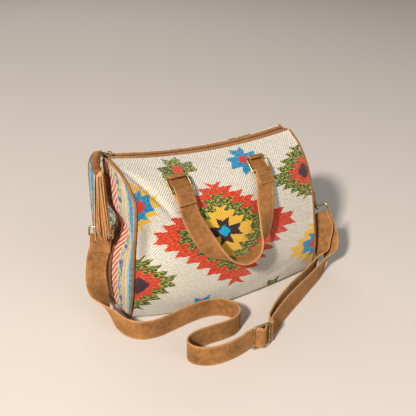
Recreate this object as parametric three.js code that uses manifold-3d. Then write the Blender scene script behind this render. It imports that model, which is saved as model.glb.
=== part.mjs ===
// Boston bag: soft woven body with suede trim, two carrying handles on rings,
// a zip with a tassel and a clipped-on shoulder strap lying in front of it.
// Millimetres, +Z up, the long side along X, the front towards -Y.
import * as THREE from 'three';
import * as BufferGeometryUtils from 'three/addons/utils/BufferGeometryUtils.js';
import Module from 'manifold-3d';

// Driving dimensions
const HALF_LENGTH = 180;
const END_HEIGHT_LEFT = 273;
const END_HEIGHT_RIGHT = 252;
const TOP_SAG = 15;
const NOMINAL_HEIGHT = 262;
const BACK_DEPTH_RATIO = 0.84;
const CLOTH = 2.4;
const PIPING_RADIUS = 2.3;
const FACING_WIDTH = 9.4;
const FACING_EDGE = 12.8;
const FACING_THICKNESS = 2.2;
const TAPE_HALF = 8.5;
const STRIP_WIDTH = 18;
const STRIP_THICKNESS = 1.8;
const HANDLE_WIDTH = 32;
const HANDLE_THICKNESS = 2.6;
const HANDLE_LEFT = { s: -0.5275, t: 273.5, clear: 8.33 };
const BACK_SEAT_DROP = 26;
const HANDLE_RIGHT = { s: 0.3726, t: 281.2, clear: 9.81 };
const HANDLE_RING_DROP = 26;
const HANDLE_RING_LEAN = 50;
const HANDLE_WIRE = 1.7;
const STRAP_WIDTH = 35;
const STRAP_THICKNESS = 2.5;
const TAB_THICKNESS = 2;
const HARDWARE_WIRE = 1.7;
const D_RING_DROP = 18;
const D_RING_WIDTH = 24;
const RING_TAB_WIDTH = 20;
const HOOK_BOW_HALF = 7;
const HOOK_RING_HEIGHT = 17;
const STRAP_SLIDER_HALF = 14;
const STRAP_SLIDER_WIRE = 1.6;
const SLIDER_INSET = 12;
const GAP = 0.4;
const STRIP_GAP = 0.8;

// Materials, one per kind of stuff
const finish = (color, roughness, metalness) =>
  new THREE.MeshStandardMaterial({ color, roughness, metalness });
const cloth = finish(0xd7cdbe, 0.92, 0);
const gussetCloth = finish(0x9fb4bd, 0.92, 0);
const suede = finish(0xa9692f, 0.9, 0);
const darkSuede = finish(0x6b3d1c, 0.92, 0);
const brass = finish(0x8f7f55, 0.38, 1);
const zipTape = finish(0x4a3120, 0.85, 0);
const boardStuff = finish(0x3c3630, 0.8, 0);

const bag = new THREE.Group();
bag.name = 'boston_bag';

const wasm = await Module();
wasm.setup();

const V = (x, y, z) => new THREE.Vector3(x, y, z);
const lerp = (a, b, k) => a + (b - a) * k;
const clamp01 = (k) => Math.min(1, Math.max(0, k));
const bump = (value, centre, width) => Math.exp(-(((value - centre) / width) ** 2));

function solidFrom(positions, index) {
  let volume = 0;
  const a = new THREE.Vector3();
  const b = new THREE.Vector3();
  const c = new THREE.Vector3();
  for (let i = 0; i < index.length; i += 3) {
    a.fromArray(positions, 3 * index[i]);
    b.fromArray(positions, 3 * index[i + 1]);
    c.fromArray(positions, 3 * index[i + 2]);
    volume += a.dot(b.cross(c));
  }
  if (volume < 0) {
    for (let i = 0; i < index.length; i += 3) {
      const kept = index[i];
      index[i] = index[i + 1];
      index[i + 1] = kept;
    }
  }
  const geometry = new THREE.BufferGeometry();
  geometry.setAttribute('position', new THREE.Float32BufferAttribute(positions, 3));
  geometry.setIndex(index);
  return geometry;
}

function add(name, geometry, material) {
  const clean = geometry.index ? geometry : BufferGeometryUtils.mergeVertices(geometry);
  clean.computeVertexNormals();
  const mesh = new THREE.Mesh(clean, material);
  mesh.name = name;
  bag.add(mesh);
  return mesh;
}

// A sheet of stuff between an outer and an inner skin, both given over the
// unit square, with walls all round its edge.
function sheet(columns, rows, outer, inner) {
  const positions = [];
  const index = [];
  const skins = [outer, inner];
  for (const skin of skins) {
    for (let j = 0; j <= rows; j++) {
      for (let i = 0; i <= columns; i++) {
        const p = skin(i / columns, j / rows);
        positions.push(p.x, p.y, p.z);
      }
    }
  }
  const at = (skin, i, j) => skin * (columns + 1) * (rows + 1) + j * (columns + 1) + i;
  const quad = (a, b, c, d) => index.push(a, b, c, a, c, d);
  for (let j = 0; j < rows; j++) {
    for (let i = 0; i < columns; i++) {
      quad(at(0, i, j), at(0, i + 1, j), at(0, i + 1, j + 1), at(0, i, j + 1));
      quad(at(1, i, j + 1), at(1, i + 1, j + 1), at(1, i + 1, j), at(1, i, j));
    }
  }
  for (let i = 0; i < columns; i++) {
    quad(at(0, i + 1, 0), at(0, i, 0), at(1, i, 0), at(1, i + 1, 0));
    quad(at(0, i, rows), at(0, i + 1, rows), at(1, i + 1, rows), at(1, i, rows));
  }
  for (let j = 0; j < rows; j++) {
    quad(at(0, 0, j), at(0, 0, j + 1), at(1, 0, j + 1), at(1, 0, j));
    quad(at(0, columns, j + 1), at(0, columns, j), at(1, columns, j), at(1, columns, j + 1));
  }
  return solidFrom(positions, index);
}

// A section swept along stations {point, side, normal}: section points are
// [across, out] pairs; open sweeps are capped, closed ones joined end to end.
function sweep(stations, section, closed = false) {
  const positions = [];
  const index = [];
  const n = section.length;
  for (const s of stations) {
    for (const [across, out] of section) {
      const p = s.point.clone().addScaledVector(s.side, across).addScaledVector(s.normal, out);
      positions.push(p.x, p.y, p.z);
    }
  }
  const count = stations.length;
  const spans = closed ? count : count - 1;
  for (let k = 0; k < spans; k++) {
    const here = k * n;
    const next = ((k + 1) % count) * n;
    for (let i = 0; i < n; i++) {
      const j = (i + 1) % n;
      index.push(here + i, here + j, next + j, here + i, next + j, next + i);
    }
  }
  if (!closed) {
    for (let i = 1; i < n - 1; i++) {
      index.push(0, i + 1, i);
      const last = (count - 1) * n;
      index.push(last, last + i, last + i + 1);
    }
  }
  return solidFrom(positions, index);
}

const roundSection = (radius, sides) =>
  Array.from({ length: sides }, (_, i) => {
    const angle = (2 * Math.PI * i) / sides;
    return [radius * Math.cos(angle), radius * Math.sin(angle)];
  });

const flatSection = (width, thickness) => {
  const w = width / 2;
  const t = thickness / 2;
  const c = Math.min(0.5, 0.3 * thickness);
  return [[w, t - c], [w - c, t], [c - w, t], [-w, t - c], [-w, c - t], [c - w, -t], [w - c, -t], [w, c - t]];
};

// Stations along a polyline whose side direction is carried without twist
function wireStations(points, closed = false) {
  const count = points.length;
  const stations = [];
  let side = null;
  for (let i = 0; i < count; i++) {
    const before = points[closed ? (i + count - 1) % count : Math.max(0, i - 1)];
    const after = points[closed ? (i + 1) % count : Math.min(count - 1, i + 1)];
    const along = after.clone().sub(before).normalize();
    if (!side) {
      side = Math.abs(along.z) < 0.8 ? V(0, 0, 1) : V(0, 1, 0);
    }
    side = side.clone().addScaledVector(along, -side.dot(along)).normalize();
    stations.push({ point: points[i], side, normal: along.clone().cross(side) });
  }
  return stations;
}

// Smooth curve through way points, each with the direction its width points in
function ribbonStations(way, steps) {
  const curve = new THREE.CatmullRomCurve3(way.map((w) => w[0]), false, 'centripetal');
  const stations = [];
  const spans = way.length - 1;
  const share = [];
  for (let i = 0; i < spans; i++) {
    share.push(way[i][0].distanceTo(way[i + 1][0]));
  }
  const total = share.reduce((a, b) => a + b, 0);
  for (let i = 0; i < spans; i++) {
    const cuts = Math.max(1, Math.round((steps * share[i]) / total));
    for (let k = 0; k < cuts; k++) {
      stations.push((i + k / cuts) / spans);
    }
  }
  stations.push(1);
  return stations.map((t) => {
    const along = curve.getTangent(t);
    const w = t * spans;
    const i = Math.min(spans - 1, Math.floor(w));
    const side = way[i][1].clone().lerp(way[i + 1][1], w - i);
    side.addScaledVector(along, -side.dot(along)).normalize();
    return { point: curve.getPoint(t), side, normal: along.clone().cross(side) };
  });
}

const toManifold = (geometry) => {
  const bare = new THREE.BufferGeometry();
  bare.setAttribute('position', geometry.attributes.position.clone());
  if (geometry.index) bare.setIndex(geometry.index.clone());
  const merged = BufferGeometryUtils.mergeVertices(bare, 1e-4);
  return new wasm.Manifold(new wasm.Mesh({
    numProp: 3,
    vertProperties: new Float32Array(merged.attributes.position.array),
    triVerts: new Uint32Array(merged.index.array),
  }));
};

const fromManifold = (manifold) => {
  const mesh = manifold.getMesh();
  return solidFrom(Array.from(mesh.vertProperties), Array.from(mesh.triVerts));
};

// The body's outer skin. Three half sections (left end, middle, right end) are
// given as [half depth, height] pairs from under the base up to the zip.
const KNOTS = [0, 14, 26, 70, 145, 205, 245, 285, 325];
const TOP_KNOT = KNOTS[KNOTS.length - 1];
const SECTIONS = {
  left: [[42, 0], [56, 0.5], [65, 8], [79, 56], [89, 134], [97, 192], [92, 224], [58, 250], [15, 262]],
  middle: [[90, 0], [104, 0.5], [113, 8], [120, 45], [116, 110], [105, 168], [86, 214], [52, 247], [15, 262]],
  right: [[80, 0], [94, 0.5], [103, 8], [107, 52], [97, 110], [85, 165], [68, 208], [43, 242], [15, 262]],
};

const chordAngle = Math.atan2(END_HEIGHT_RIGHT - END_HEIGHT_LEFT, 2 * HALF_LENGTH);
const chordLength = Math.hypot(2 * HALF_LENGTH, END_HEIGHT_RIGHT - END_HEIGHT_LEFT);
const ARC_RADIUS = (chordLength ** 2 / 4 + TOP_SAG ** 2) / (2 * TOP_SAG);
const ARC_X = -Math.sin(chordAngle) * (ARC_RADIUS - TOP_SAG);
const ARC_Z = (END_HEIGHT_LEFT + END_HEIGHT_RIGHT) / 2 + Math.cos(chordAngle) * (ARC_RADIUS - TOP_SAG);
const topAt = (x) => ARC_Z - Math.sqrt(ARC_RADIUS ** 2 - (x - ARC_X) ** 2);

function sectionAt(points, t) {
  let i = 0;
  while (i < KNOTS.length - 2 && t > KNOTS[i + 1]) i++;
  const span = KNOTS[i + 1] - KNOTS[i];
  const k = (t - KNOTS[i]) / span;
  const slope = (j, axis) => {
    const a = Math.max(0, j - 1);
    const b = Math.min(KNOTS.length - 1, j + 1);
    return (points[b][axis] - points[a][axis]) / (KNOTS[b] - KNOTS[a]);
  };
  return [0, 1].map((axis) => {
    const p = points[i][axis];
    const q = points[i + 1][axis];
    const m = slope(i, axis) * span;
    const n = slope(i + 1, axis) * span;
    return (2 * k ** 3 - 3 * k ** 2 + 1) * p + (k ** 3 - 2 * k ** 2 + k) * m
      + (3 * k ** 2 - 2 * k ** 3) * q + (k ** 3 - k ** 2) * n;
  });
}

function endX(side, t) {
  const rise = clamp01(t / TOP_KNOT);
  if (side < 0) return -HALF_LENGTH + 6 * Math.sin(Math.PI * rise ** 2) + 4 * rise ** 4;
  return HALF_LENGTH + 4 * Math.sin(Math.PI * rise) + rise ** 4;
}

// Soft hollows pressed into the front near its left end
function frontDent(s, t) {
  const crease = bump(t - 250, 90 * (s + 1) * -0.62 + 20, 16) * bump(s, -0.8, 0.2);
  const hollow = bump(s, -0.8, 0.13) * bump(t, 165, 42);
  const rim = clamp01((1 - Math.abs(s)) * 12);
  return (6 * crease + 5 * hollow) * rim * clamp01((TOP_KNOT - t) / 25) * clamp01(t / 40);
}

// s runs from -1 (left end) to 1 (right end), t along the section's knots and
// face is -1 for the front, 1 for the back.
function skin(s, t, face) {
  const end = s < 0 ? SECTIONS.left : SECTIONS.right;
  const weight = Math.abs(s) ** 1.8;
  const [dEnd, zEnd] = sectionAt(end, t);
  const [dMid, zMid] = sectionAt(SECTIONS.middle, t);
  const x = lerp(endX(-1, t), endX(1, t), (s + 1) / 2);
  let depth = lerp(dMid, dEnd, weight);
  if (face < 0) depth -= frontDent(s, t);
  else depth = 15 + (depth - 15) * BACK_DEPTH_RATIO;
  const z = (lerp(zMid, zEnd, weight) * topAt(x)) / NOMINAL_HEIGHT;
  return V(x, face * depth, z);
}

function skinNormal(s, t, face) {
  const e = 0.004;
  const a = skin(Math.min(1, s + e), t, face).sub(skin(Math.max(-1, s - e), t, face));
  const b = skin(s, Math.min(TOP_KNOT, t + 1), face).sub(skin(s, Math.max(0, t - 1), face));
  return a.cross(b).multiplyScalar(-face).normalize();
}

// Offset of the section at an end, within the plane of that end
function edgePoint(side, t, face, inward) {
  const p = skin(side, t, face);
  const q = skin(side, Math.min(TOP_KNOT, t + 1), face);
  const r = skin(side, Math.max(0, t - 1), face);
  const along = q.sub(r);
  const out = V(0, face * along.z, -face * along.y).normalize();
  return p.addScaledVector(out, -inward);
}

const EDGE = (PIPING_RADIUS * 2 - 0.8 + GAP) / HALF_LENGTH;
const panelSkin = (face, depth) => (u, v) => {
  const s = lerp(-1 + EDGE, 1 - EDGE, u);
  const t = v * TOP_KNOT;
  const p = skin(s, t, face);
  if (depth > 0) p.addScaledVector(skinNormal(s, t, face), -depth);
  return p;
};
add('front_panel', sheet(30, 20, panelSkin(-1, 0), panelSkin(-1, CLOTH)), cloth);
add('back_panel', sheet(22, 15, panelSkin(1, 0), panelSkin(1, CLOTH)), cloth);

// Base, a flat panel sewn between the turned-under edges of front and back
const baseSkin = (height) => (u, v) => {
  const s = lerp(-1 + EDGE, 1 - EDGE, u);
  const front = skin(s, 0, -1);
  const back = skin(s, 0, 1);
  return V(front.x, lerp(front.y + 0.6, back.y - 0.6, v), height);
};
add('base_panel', sheet(16, 3, baseSkin(0), baseSkin(CLOTH)), cloth);
const boardSkin = (height) => (u, v) => {
  const p = baseSkin(0)(lerp(0.03, 0.97, u), 0);
  const q = baseSkin(0)(lerp(0.03, 0.97, u), 1);
  return V(p.x, lerp(p.y, q.y, v), height);
};
add('base_board', sheet(10, 2, boardSkin(CLOTH + GAP), boardSkin(CLOTH + GAP + 2)), boardStuff);

// Gussets: leaf-shaped ends, the left one pushed in at mid height
function gussetBulge(side, z) {
  if (side < 0) return 22 * bump(z, 148, 30) - 4 * bump(z, 50, 40);
  return -12 * bump(z, 105, 60);
}
const GUSSET_EDGE = 2 * PIPING_RADIUS - 0.8 + GAP;
const gussetSkin = (side, depth) => (u, v) => {
  const t = v * TOP_KNOT;
  const p = edgePoint(side, t, -1, GUSSET_EDGE);
  const q = edgePoint(side, t, 1, GUSSET_EDGE);
  const g = 2 * u - 1;
  const point = p.clone().lerp(q, u);
  point.z = Math.max(point.z, 2 * PIPING_RADIUS + 0.8);
  const low = clamp01(point.z / 30) * clamp01((TOP_KNOT - t) / 50);
  const bulge = gussetBulge(side, point.z) * (1 - g * g) ** 1.3 * low;
  point.x -= side * (depth + bulge);
  return point;
};
add('gusset_left', sheet(10, 20, gussetSkin(-1, 0), gussetSkin(-1, CLOTH)), gussetCloth);
add('gusset_right', sheet(10, 20, gussetSkin(1, 0), gussetSkin(1, CLOTH)), gussetCloth);

// Piping round each gusset
function pipingPath(side) {
  const points = [];
  const place = (t, face) => {
    const p = edgePoint(side, t, face, PIPING_RADIUS - 0.8);
    p.x -= side * (PIPING_RADIUS - 0.8);
    p.z = Math.max(p.z, PIPING_RADIUS + 0.05);
    return p;
  };
  const ts = [
    325, 312, 298, 285, 272, 260, 248, 236, 222, 205, 185, 165, 145, 122, 98, 74, 52, 38, 30, 25, 20, 15, 8, 0,
  ];
  for (const t of ts) points.push(place(t, -1));
  for (const t of ts.slice().reverse()) points.push(place(t, 1));
  return points;
}
for (const [name, side] of [['piping_left', -1], ['piping_right', 1]]) {
  add(name, sweep(wireStations(pipingPath(side)), roundSection(PIPING_RADIUS, 6)), suede);
}

// Zip: suede facings either side of a sunken tape with its coil
const ARC_ENDS = [-HALF_LENGTH + 9, HALF_LENGTH - 2];
function bandStations(from, to, steps) {
  const stations = [];
  for (let i = 0; i <= steps; i++) {
    const x = lerp(from, to, i / steps);
    const point = V(x, 0, topAt(x));
    const normal = V(ARC_X - x, 0, ARC_Z - point.z).normalize();
    stations.push({ point, side: V(0, 1, 0), normal });
  }
  return stations;
}
for (const [name, face] of [['zip_facing_front', -1], ['zip_facing_back', 1]]) {
  const near = face * (FACING_EDGE - FACING_WIDTH);
  const far = face * FACING_EDGE;
  const section = [[near, -0.4], [near, -FACING_THICKNESS], [far, -FACING_THICKNESS], [far, -0.4],
    [lerp(near, far, 0.9), 0], [lerp(near, far, 0.1), 0]];
  add(name, sweep(bandStations(...ARC_ENDS, 20), section), suede);
}
for (const [name, face] of [['zip_tape_front', -1], ['zip_tape_back', 1]]) {
  const low = -FACING_THICKNESS - 0.3;
  const section = [[face * 0.2, low - 1], [face * 0.2, -0.9], [face * 2.9, -0.9], [face * 2.9, low],
    [face * TAPE_HALF, low], [face * TAPE_HALF, low - 1]];
  add(name, sweep(bandStations(...ARC_ENDS, 20), section), zipTape);
}

// Zip slider with a loop on top, and the puller link through the loop
const box = (x, y, z, w, d, h) => new THREE.BoxGeometry(w, d, h).translate(x, y, z);
const SLIDER_X = SLIDER_INSET - HALF_LENGTH;
const sliderTop = topAt(SLIDER_X);
const sliderTilt = Math.atan2(ARC_X - SLIDER_X, ARC_Z - sliderTop);
const seat = (geometry) => {
  geometry.rotateY(sliderTilt);
  return geometry.translate(SLIDER_X, 0, sliderTop);
};
const LOOP_Z = 4.6;
const loopWire = wireStations([
  V(-4, 0, 1), V(-4, 0, 4.4), V(-2.8, 0, 6), V(0, 0, 6.6), V(2.8, 0, 6), V(4, 0, 4.4), V(4, 0, 1),
]);
const sliderSolid = toManifold(box(0, 0, 1.3, 12, 8.4, 2))
  .add(toManifold(sweep(loopWire, roundSection(0.8, 8))));
add('zip_slider', seat(fromManifold(sliderSolid)), brass);
const linkPath = [];
for (let i = 0; i < 20; i++) {
  const angle = (2 * Math.PI * i) / 20;
  linkPath.push(V(-7.5 + 6.5 * Math.cos(angle), 3.2 * Math.sin(angle), LOOP_Z - 0.6 - 0.2 * Math.cos(angle)));
}
add('zip_puller', seat(sweep(wireStations(linkPath, true), roundSection(0.8, 8), true)), brass);

// Tassel: a wrapped suede head and a fringe of strips hanging from it
const fromSlider = (x, y, z) => V(SLIDER_X + x, y, sliderTop + z);
const headWay = [
  fromSlider(-16, -3, 8.7), fromSlider(-20, -7, 4.7), fromSlider(-23, -11, -1.3), fromSlider(-24.5, -15, -10.3),
];
const headCurve = new THREE.CatmullRomCurve3(headWay);
const headStations = wireStations(headCurve.getPoints(7));
const headPositions = [];
const headIndex = [];
headStations.forEach((s, k) => {
  const radius = [3.4, 5.2, 6.3, 7, 7.2, 7.3, 7.2, 6.9][k];
  for (let i = 0; i < 14; i++) {
    const angle = (2 * Math.PI * i) / 14;
    const p = s.point.clone().addScaledVector(s.side, radius * Math.cos(angle));
    p.addScaledVector(s.normal, radius * 0.85 * Math.sin(angle));
    headPositions.push(p.x, p.y, p.z);
  }
});
for (let k = 0; k < headStations.length - 1; k++) {
  for (let i = 0; i < 14; i++) {
    const j = (i + 1) % 14;
    headIndex.push(k * 14 + i, k * 14 + j, k * 14 + 14 + j, k * 14 + i, k * 14 + 14 + j, k * 14 + 14 + i);
  }
}
for (let i = 1; i < 13; i++) {
  headIndex.push(0, i + 1, i, 98, 98 + i, 98 + i + 1);
}
add('tassel_head', solidFrom(headPositions, headIndex), suede);

// Fringe: one rolled piece, its top joined, its strips free below
const FRINGE_TOP = fromSlider(-25, -17.5, -17);
const FRINGE_STRIPS = 11;
const FRINGE_LENGTH = 122;
let fringe = null;
const joinFringe = (geometry) => {
  const piece = toManifold(geometry);
  fringe = fringe ? fringe.add(piece) : piece;
};
const fringeCap = new THREE.CylinderGeometry(6.6, 6.2, 9, 16).rotateX(Math.PI / 2);
joinFringe(fringeCap.translate(FRINGE_TOP.x, FRINGE_TOP.y, FRINGE_TOP.z));
for (let i = 0; i < FRINGE_STRIPS; i++) {
  const angle = (2 * Math.PI * i) / FRINGE_STRIPS + 0.3;
  const reach = i % 2 ? 3.4 : 5.1;
  const out = V(Math.cos(angle), Math.sin(angle), 0);
  const across = V(-Math.sin(angle), Math.cos(angle), 0);
  const length = FRINGE_LENGTH - 7 * ((i * 5) % 3);
  const stations = [];
  for (let k = 0; k <= 7; k++) {
    const fall = k / 7;
    const spread = reach * (1 + 0.75 * Math.sin(Math.PI * fall * 0.8)) + 0.8 * fall;
    const point = FRINGE_TOP.clone().addScaledVector(out, spread);
    point.z -= 1 + (length - 1) * fall;
    point.x -= 3 * fall * fall;
    stations.push({ point, side: across, normal: out });
  }
  joinFringe(sweep(stations, flatSection(3, 1.3)));
}
add('tassel_fringe', fromManifold(fringe), suede);

// Suede strip down the middle of each gusset
const gussetAt = (side, y, t, out) => {
  const front = edgePoint(side, t, -1, GUSSET_EDGE);
  const back = edgePoint(side, t, 1, GUSSET_EDGE);
  const u = (y - front.y) / (back.y - front.y);
  return gussetSkin(side, -out)(u, t / TOP_KNOT);
};
const stripSkin = (side, out) => (u, v) => {
  const t = lerp(32.5, 308.75, v);
  const half = Math.min(STRIP_WIDTH / 2, 4 + 0.2 * (TOP_KNOT - t));
  return gussetAt(side, lerp(-half, half, u), t, out);
};
for (const [name, side] of [['gusset_strip_left', -1], ['gusset_strip_right', 1]]) {
  add(name, sheet(2, 17, stripSkin(side, STRIP_GAP + STRIP_THICKNESS), stripSkin(side, STRIP_GAP)), darkSuede);
}

// A strap end turned round a bar: way points from the sewn tip, round the bar
// and out again; along points away from the bar and out to the tip's side.
function turnRound(centre, along, out, side, bar, thickness, tip) {
  const r = bar + GAP + thickness / 2;
  const flat = (thickness + GAP) / 2;
  const place = (a, o) => [centre.clone().addScaledVector(along, a).addScaledVector(out, o), side];
  return [
    place(tip, flat), place(Math.min(tip - 2, 2.6 * r + 4), flat), place(2.2 * r, lerp(flat, r, 0.35)),
    place(0.9 * r, r * 0.93), place(0, r), place(-0.71 * r, 0.71 * r), place(-r, 0),
    place(-0.71 * r, -0.71 * r), place(0, -r), place(0.9 * r, -r * 0.93),
    place(2.2 * r, -lerp(flat, r, 0.35)), place(2.6 * r + 4, -flat),
  ];
}

const roundedLoop = (width, height, corner, steps = 3) => {
  const points = [];
  const w = width / 2 - corner;
  const h = height / 2 - corner;
  for (const [cx, cz, start] of [[w, h, 0], [-w, h, 1], [-w, -h, 2], [w, -h, 3]]) {
    for (let i = 0; i <= steps; i++) {
      const angle = ((start + i / steps) * Math.PI) / 2;
      points.push([cx + corner * Math.cos(angle), cz + corner * Math.sin(angle)]);
    }
  }
  return points;
};

// Handles: on each face two sewn tabs hold the rings, the strap hangs between
const handleAxisAt = ({ s, t, clear }, face) => {
  const up = face < 0 ? t : t - BACK_SEAT_DROP;
  return skin(s, up, face).addScaledVector(skinNormal(s, up, face), clear);
};

// Way points of a tab sewn flat below the bar, its upper end turned over it
function tabWay(bar, face, barDirection) {
  const s = bar.x / HALF_LENGTH;
  const gapAt = (t) => {
    const p = skin(s, t, face);
    return Math.hypot(p.y - bar.y, p.z - bar.z);
  };
  let near = 240;
  for (let t = 200; t <= 300; t++) {
    if (gapAt(t) < gapAt(near)) near = t;
  }
  const lie = (t, out) => {
    const across = skin(s + 0.05, t, face).sub(skin(s - 0.05, t, face)).normalize();
    const p = skin(s, t, face).addScaledVector(skinNormal(s, t, face), out);
    return [p, across];
  };
  const down = lie(near - 26, 0)[0].sub(lie(near - 4, 0)[0]).normalize();
  down.addScaledVector(barDirection, -down.dot(barDirection)).normalize();
  const out = down.clone().cross(barDirection).normalize();
  if (out.y * face < 0) out.multiplyScalar(-1);
  const r = HANDLE_WIRE + GAP + 0.3 + TAB_THICKNESS / 2;
  const around = (a, o) => [bar.clone().addScaledVector(down, a).addScaledVector(out, o), barDirection];
  const flat = 1.2 + TAB_THICKNESS / 2;
  return [
    lie(near - 46, flat), lie(near - 34, flat), lie(near - 23, flat), lie(near - 13, flat),
    around(1.5, -r), around(-0.71 * r, -0.71 * r), around(-r, 0), around(-0.71 * r, 0.71 * r),
    around(0, r), around(0.8 * r, 0.75 * r),
  ];
}

// The handle's way points: share of the way between its two bars, how far out
// from them, how far below them, and the direction its width points in.
const HANDLE_ROUTE = [
  [0.019, 48.5, 53, 1, 0, 0],
  [0.076, 60.5, 79, 0.97, 0.2, 0],
  [0.176, 69.5, 107, 0.8, 0.6, 0],
  [0.321, 74.5, 129, 0.45, 0.9, 0.1],
  [0.491, 76.5, 140, 0.1, 1, 0.1],
  [0.660, 75.5, 136, -0.35, 1, 0.1],
  [0.786, 71.5, 118, -0.75, 0.65, 0],
  [0.855, 62.5, 91, -0.95, 0.3, 0],
  [0.906, 48.5, 61, -1, 0, 0],
];
function handleSet(face, label) {
  const ends = [handleAxisAt(HANDLE_LEFT, face), handleAxisAt(HANDLE_RIGHT, face)];
  const barDirection = ends[1].clone().sub(ends[0]).normalize();
  const lean = THREE.MathUtils.degToRad(HANDLE_RING_LEAN);
  const lie = V(0, face * Math.sin(lean), -Math.cos(lean));
  lie.addScaledVector(barDirection, -lie.dot(barDirection)).normalize();
  const turned = [];
  ends.forEach((bar, k) => {
    const where = k === 0 ? 'left' : 'right';
    const loop = roundedLoop(HANDLE_WIDTH + 7, HANDLE_RING_DROP, 3.5).map(([a, b]) =>
      bar.clone().addScaledVector(barDirection, a).addScaledVector(lie, HANDLE_RING_DROP / 2 - b));
    const ring = sweep(wireStations(loop, true), roundSection(HANDLE_WIRE, 6), true);
    add(`handle_ring_${label}_${where}`, ring, brass);
    const tabLine = ribbonStations(tabWay(bar, face, barDirection), 22);
    add(`handle_tab_${label}_${where}`, sweep(tabLine, flatSection(HANDLE_WIDTH - 2, TAB_THICKNESS)), suede);
    const low = bar.clone().addScaledVector(lie, HANDLE_RING_DROP);
    const along = V(0, face * 0.62, -0.78);
    along.addScaledVector(barDirection, -along.dot(barDirection)).normalize();
    const out = barDirection.clone().cross(along).normalize();
    if (out.y * face < 0) out.multiplyScalar(-1);
    turned.push(turnRound(low, along, out, barDirection, HANDLE_WIRE, HANDLE_THICKNESS, 24));
  });
  const back = turned[1].reverse().map(([p, side]) => [p, side.clone().negate()]);
  const reach = face < 0 ? 1 : BACK_DEPTH_RATIO + 0.03;
  const way = HANDLE_ROUTE.map(([share, out, below, sx, sy, sz]) => {
    const point = ends[0].clone().lerp(ends[1], 0.5).add(V(0, face * out * reach, -below));
    point.x = lerp(ends[0].x, ends[1].x, share);
    return [point, V(sx, face * sy, sz)];
  });
  const line = ribbonStations([...turned[0], ...way, ...back], 60);
  add(`handle_${label}`, sweep(line, flatSection(HANDLE_WIDTH, HANDLE_THICKNESS)), suede);
}
handleSet(-1, 'front');
handleSet(1, 'back');

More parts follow.
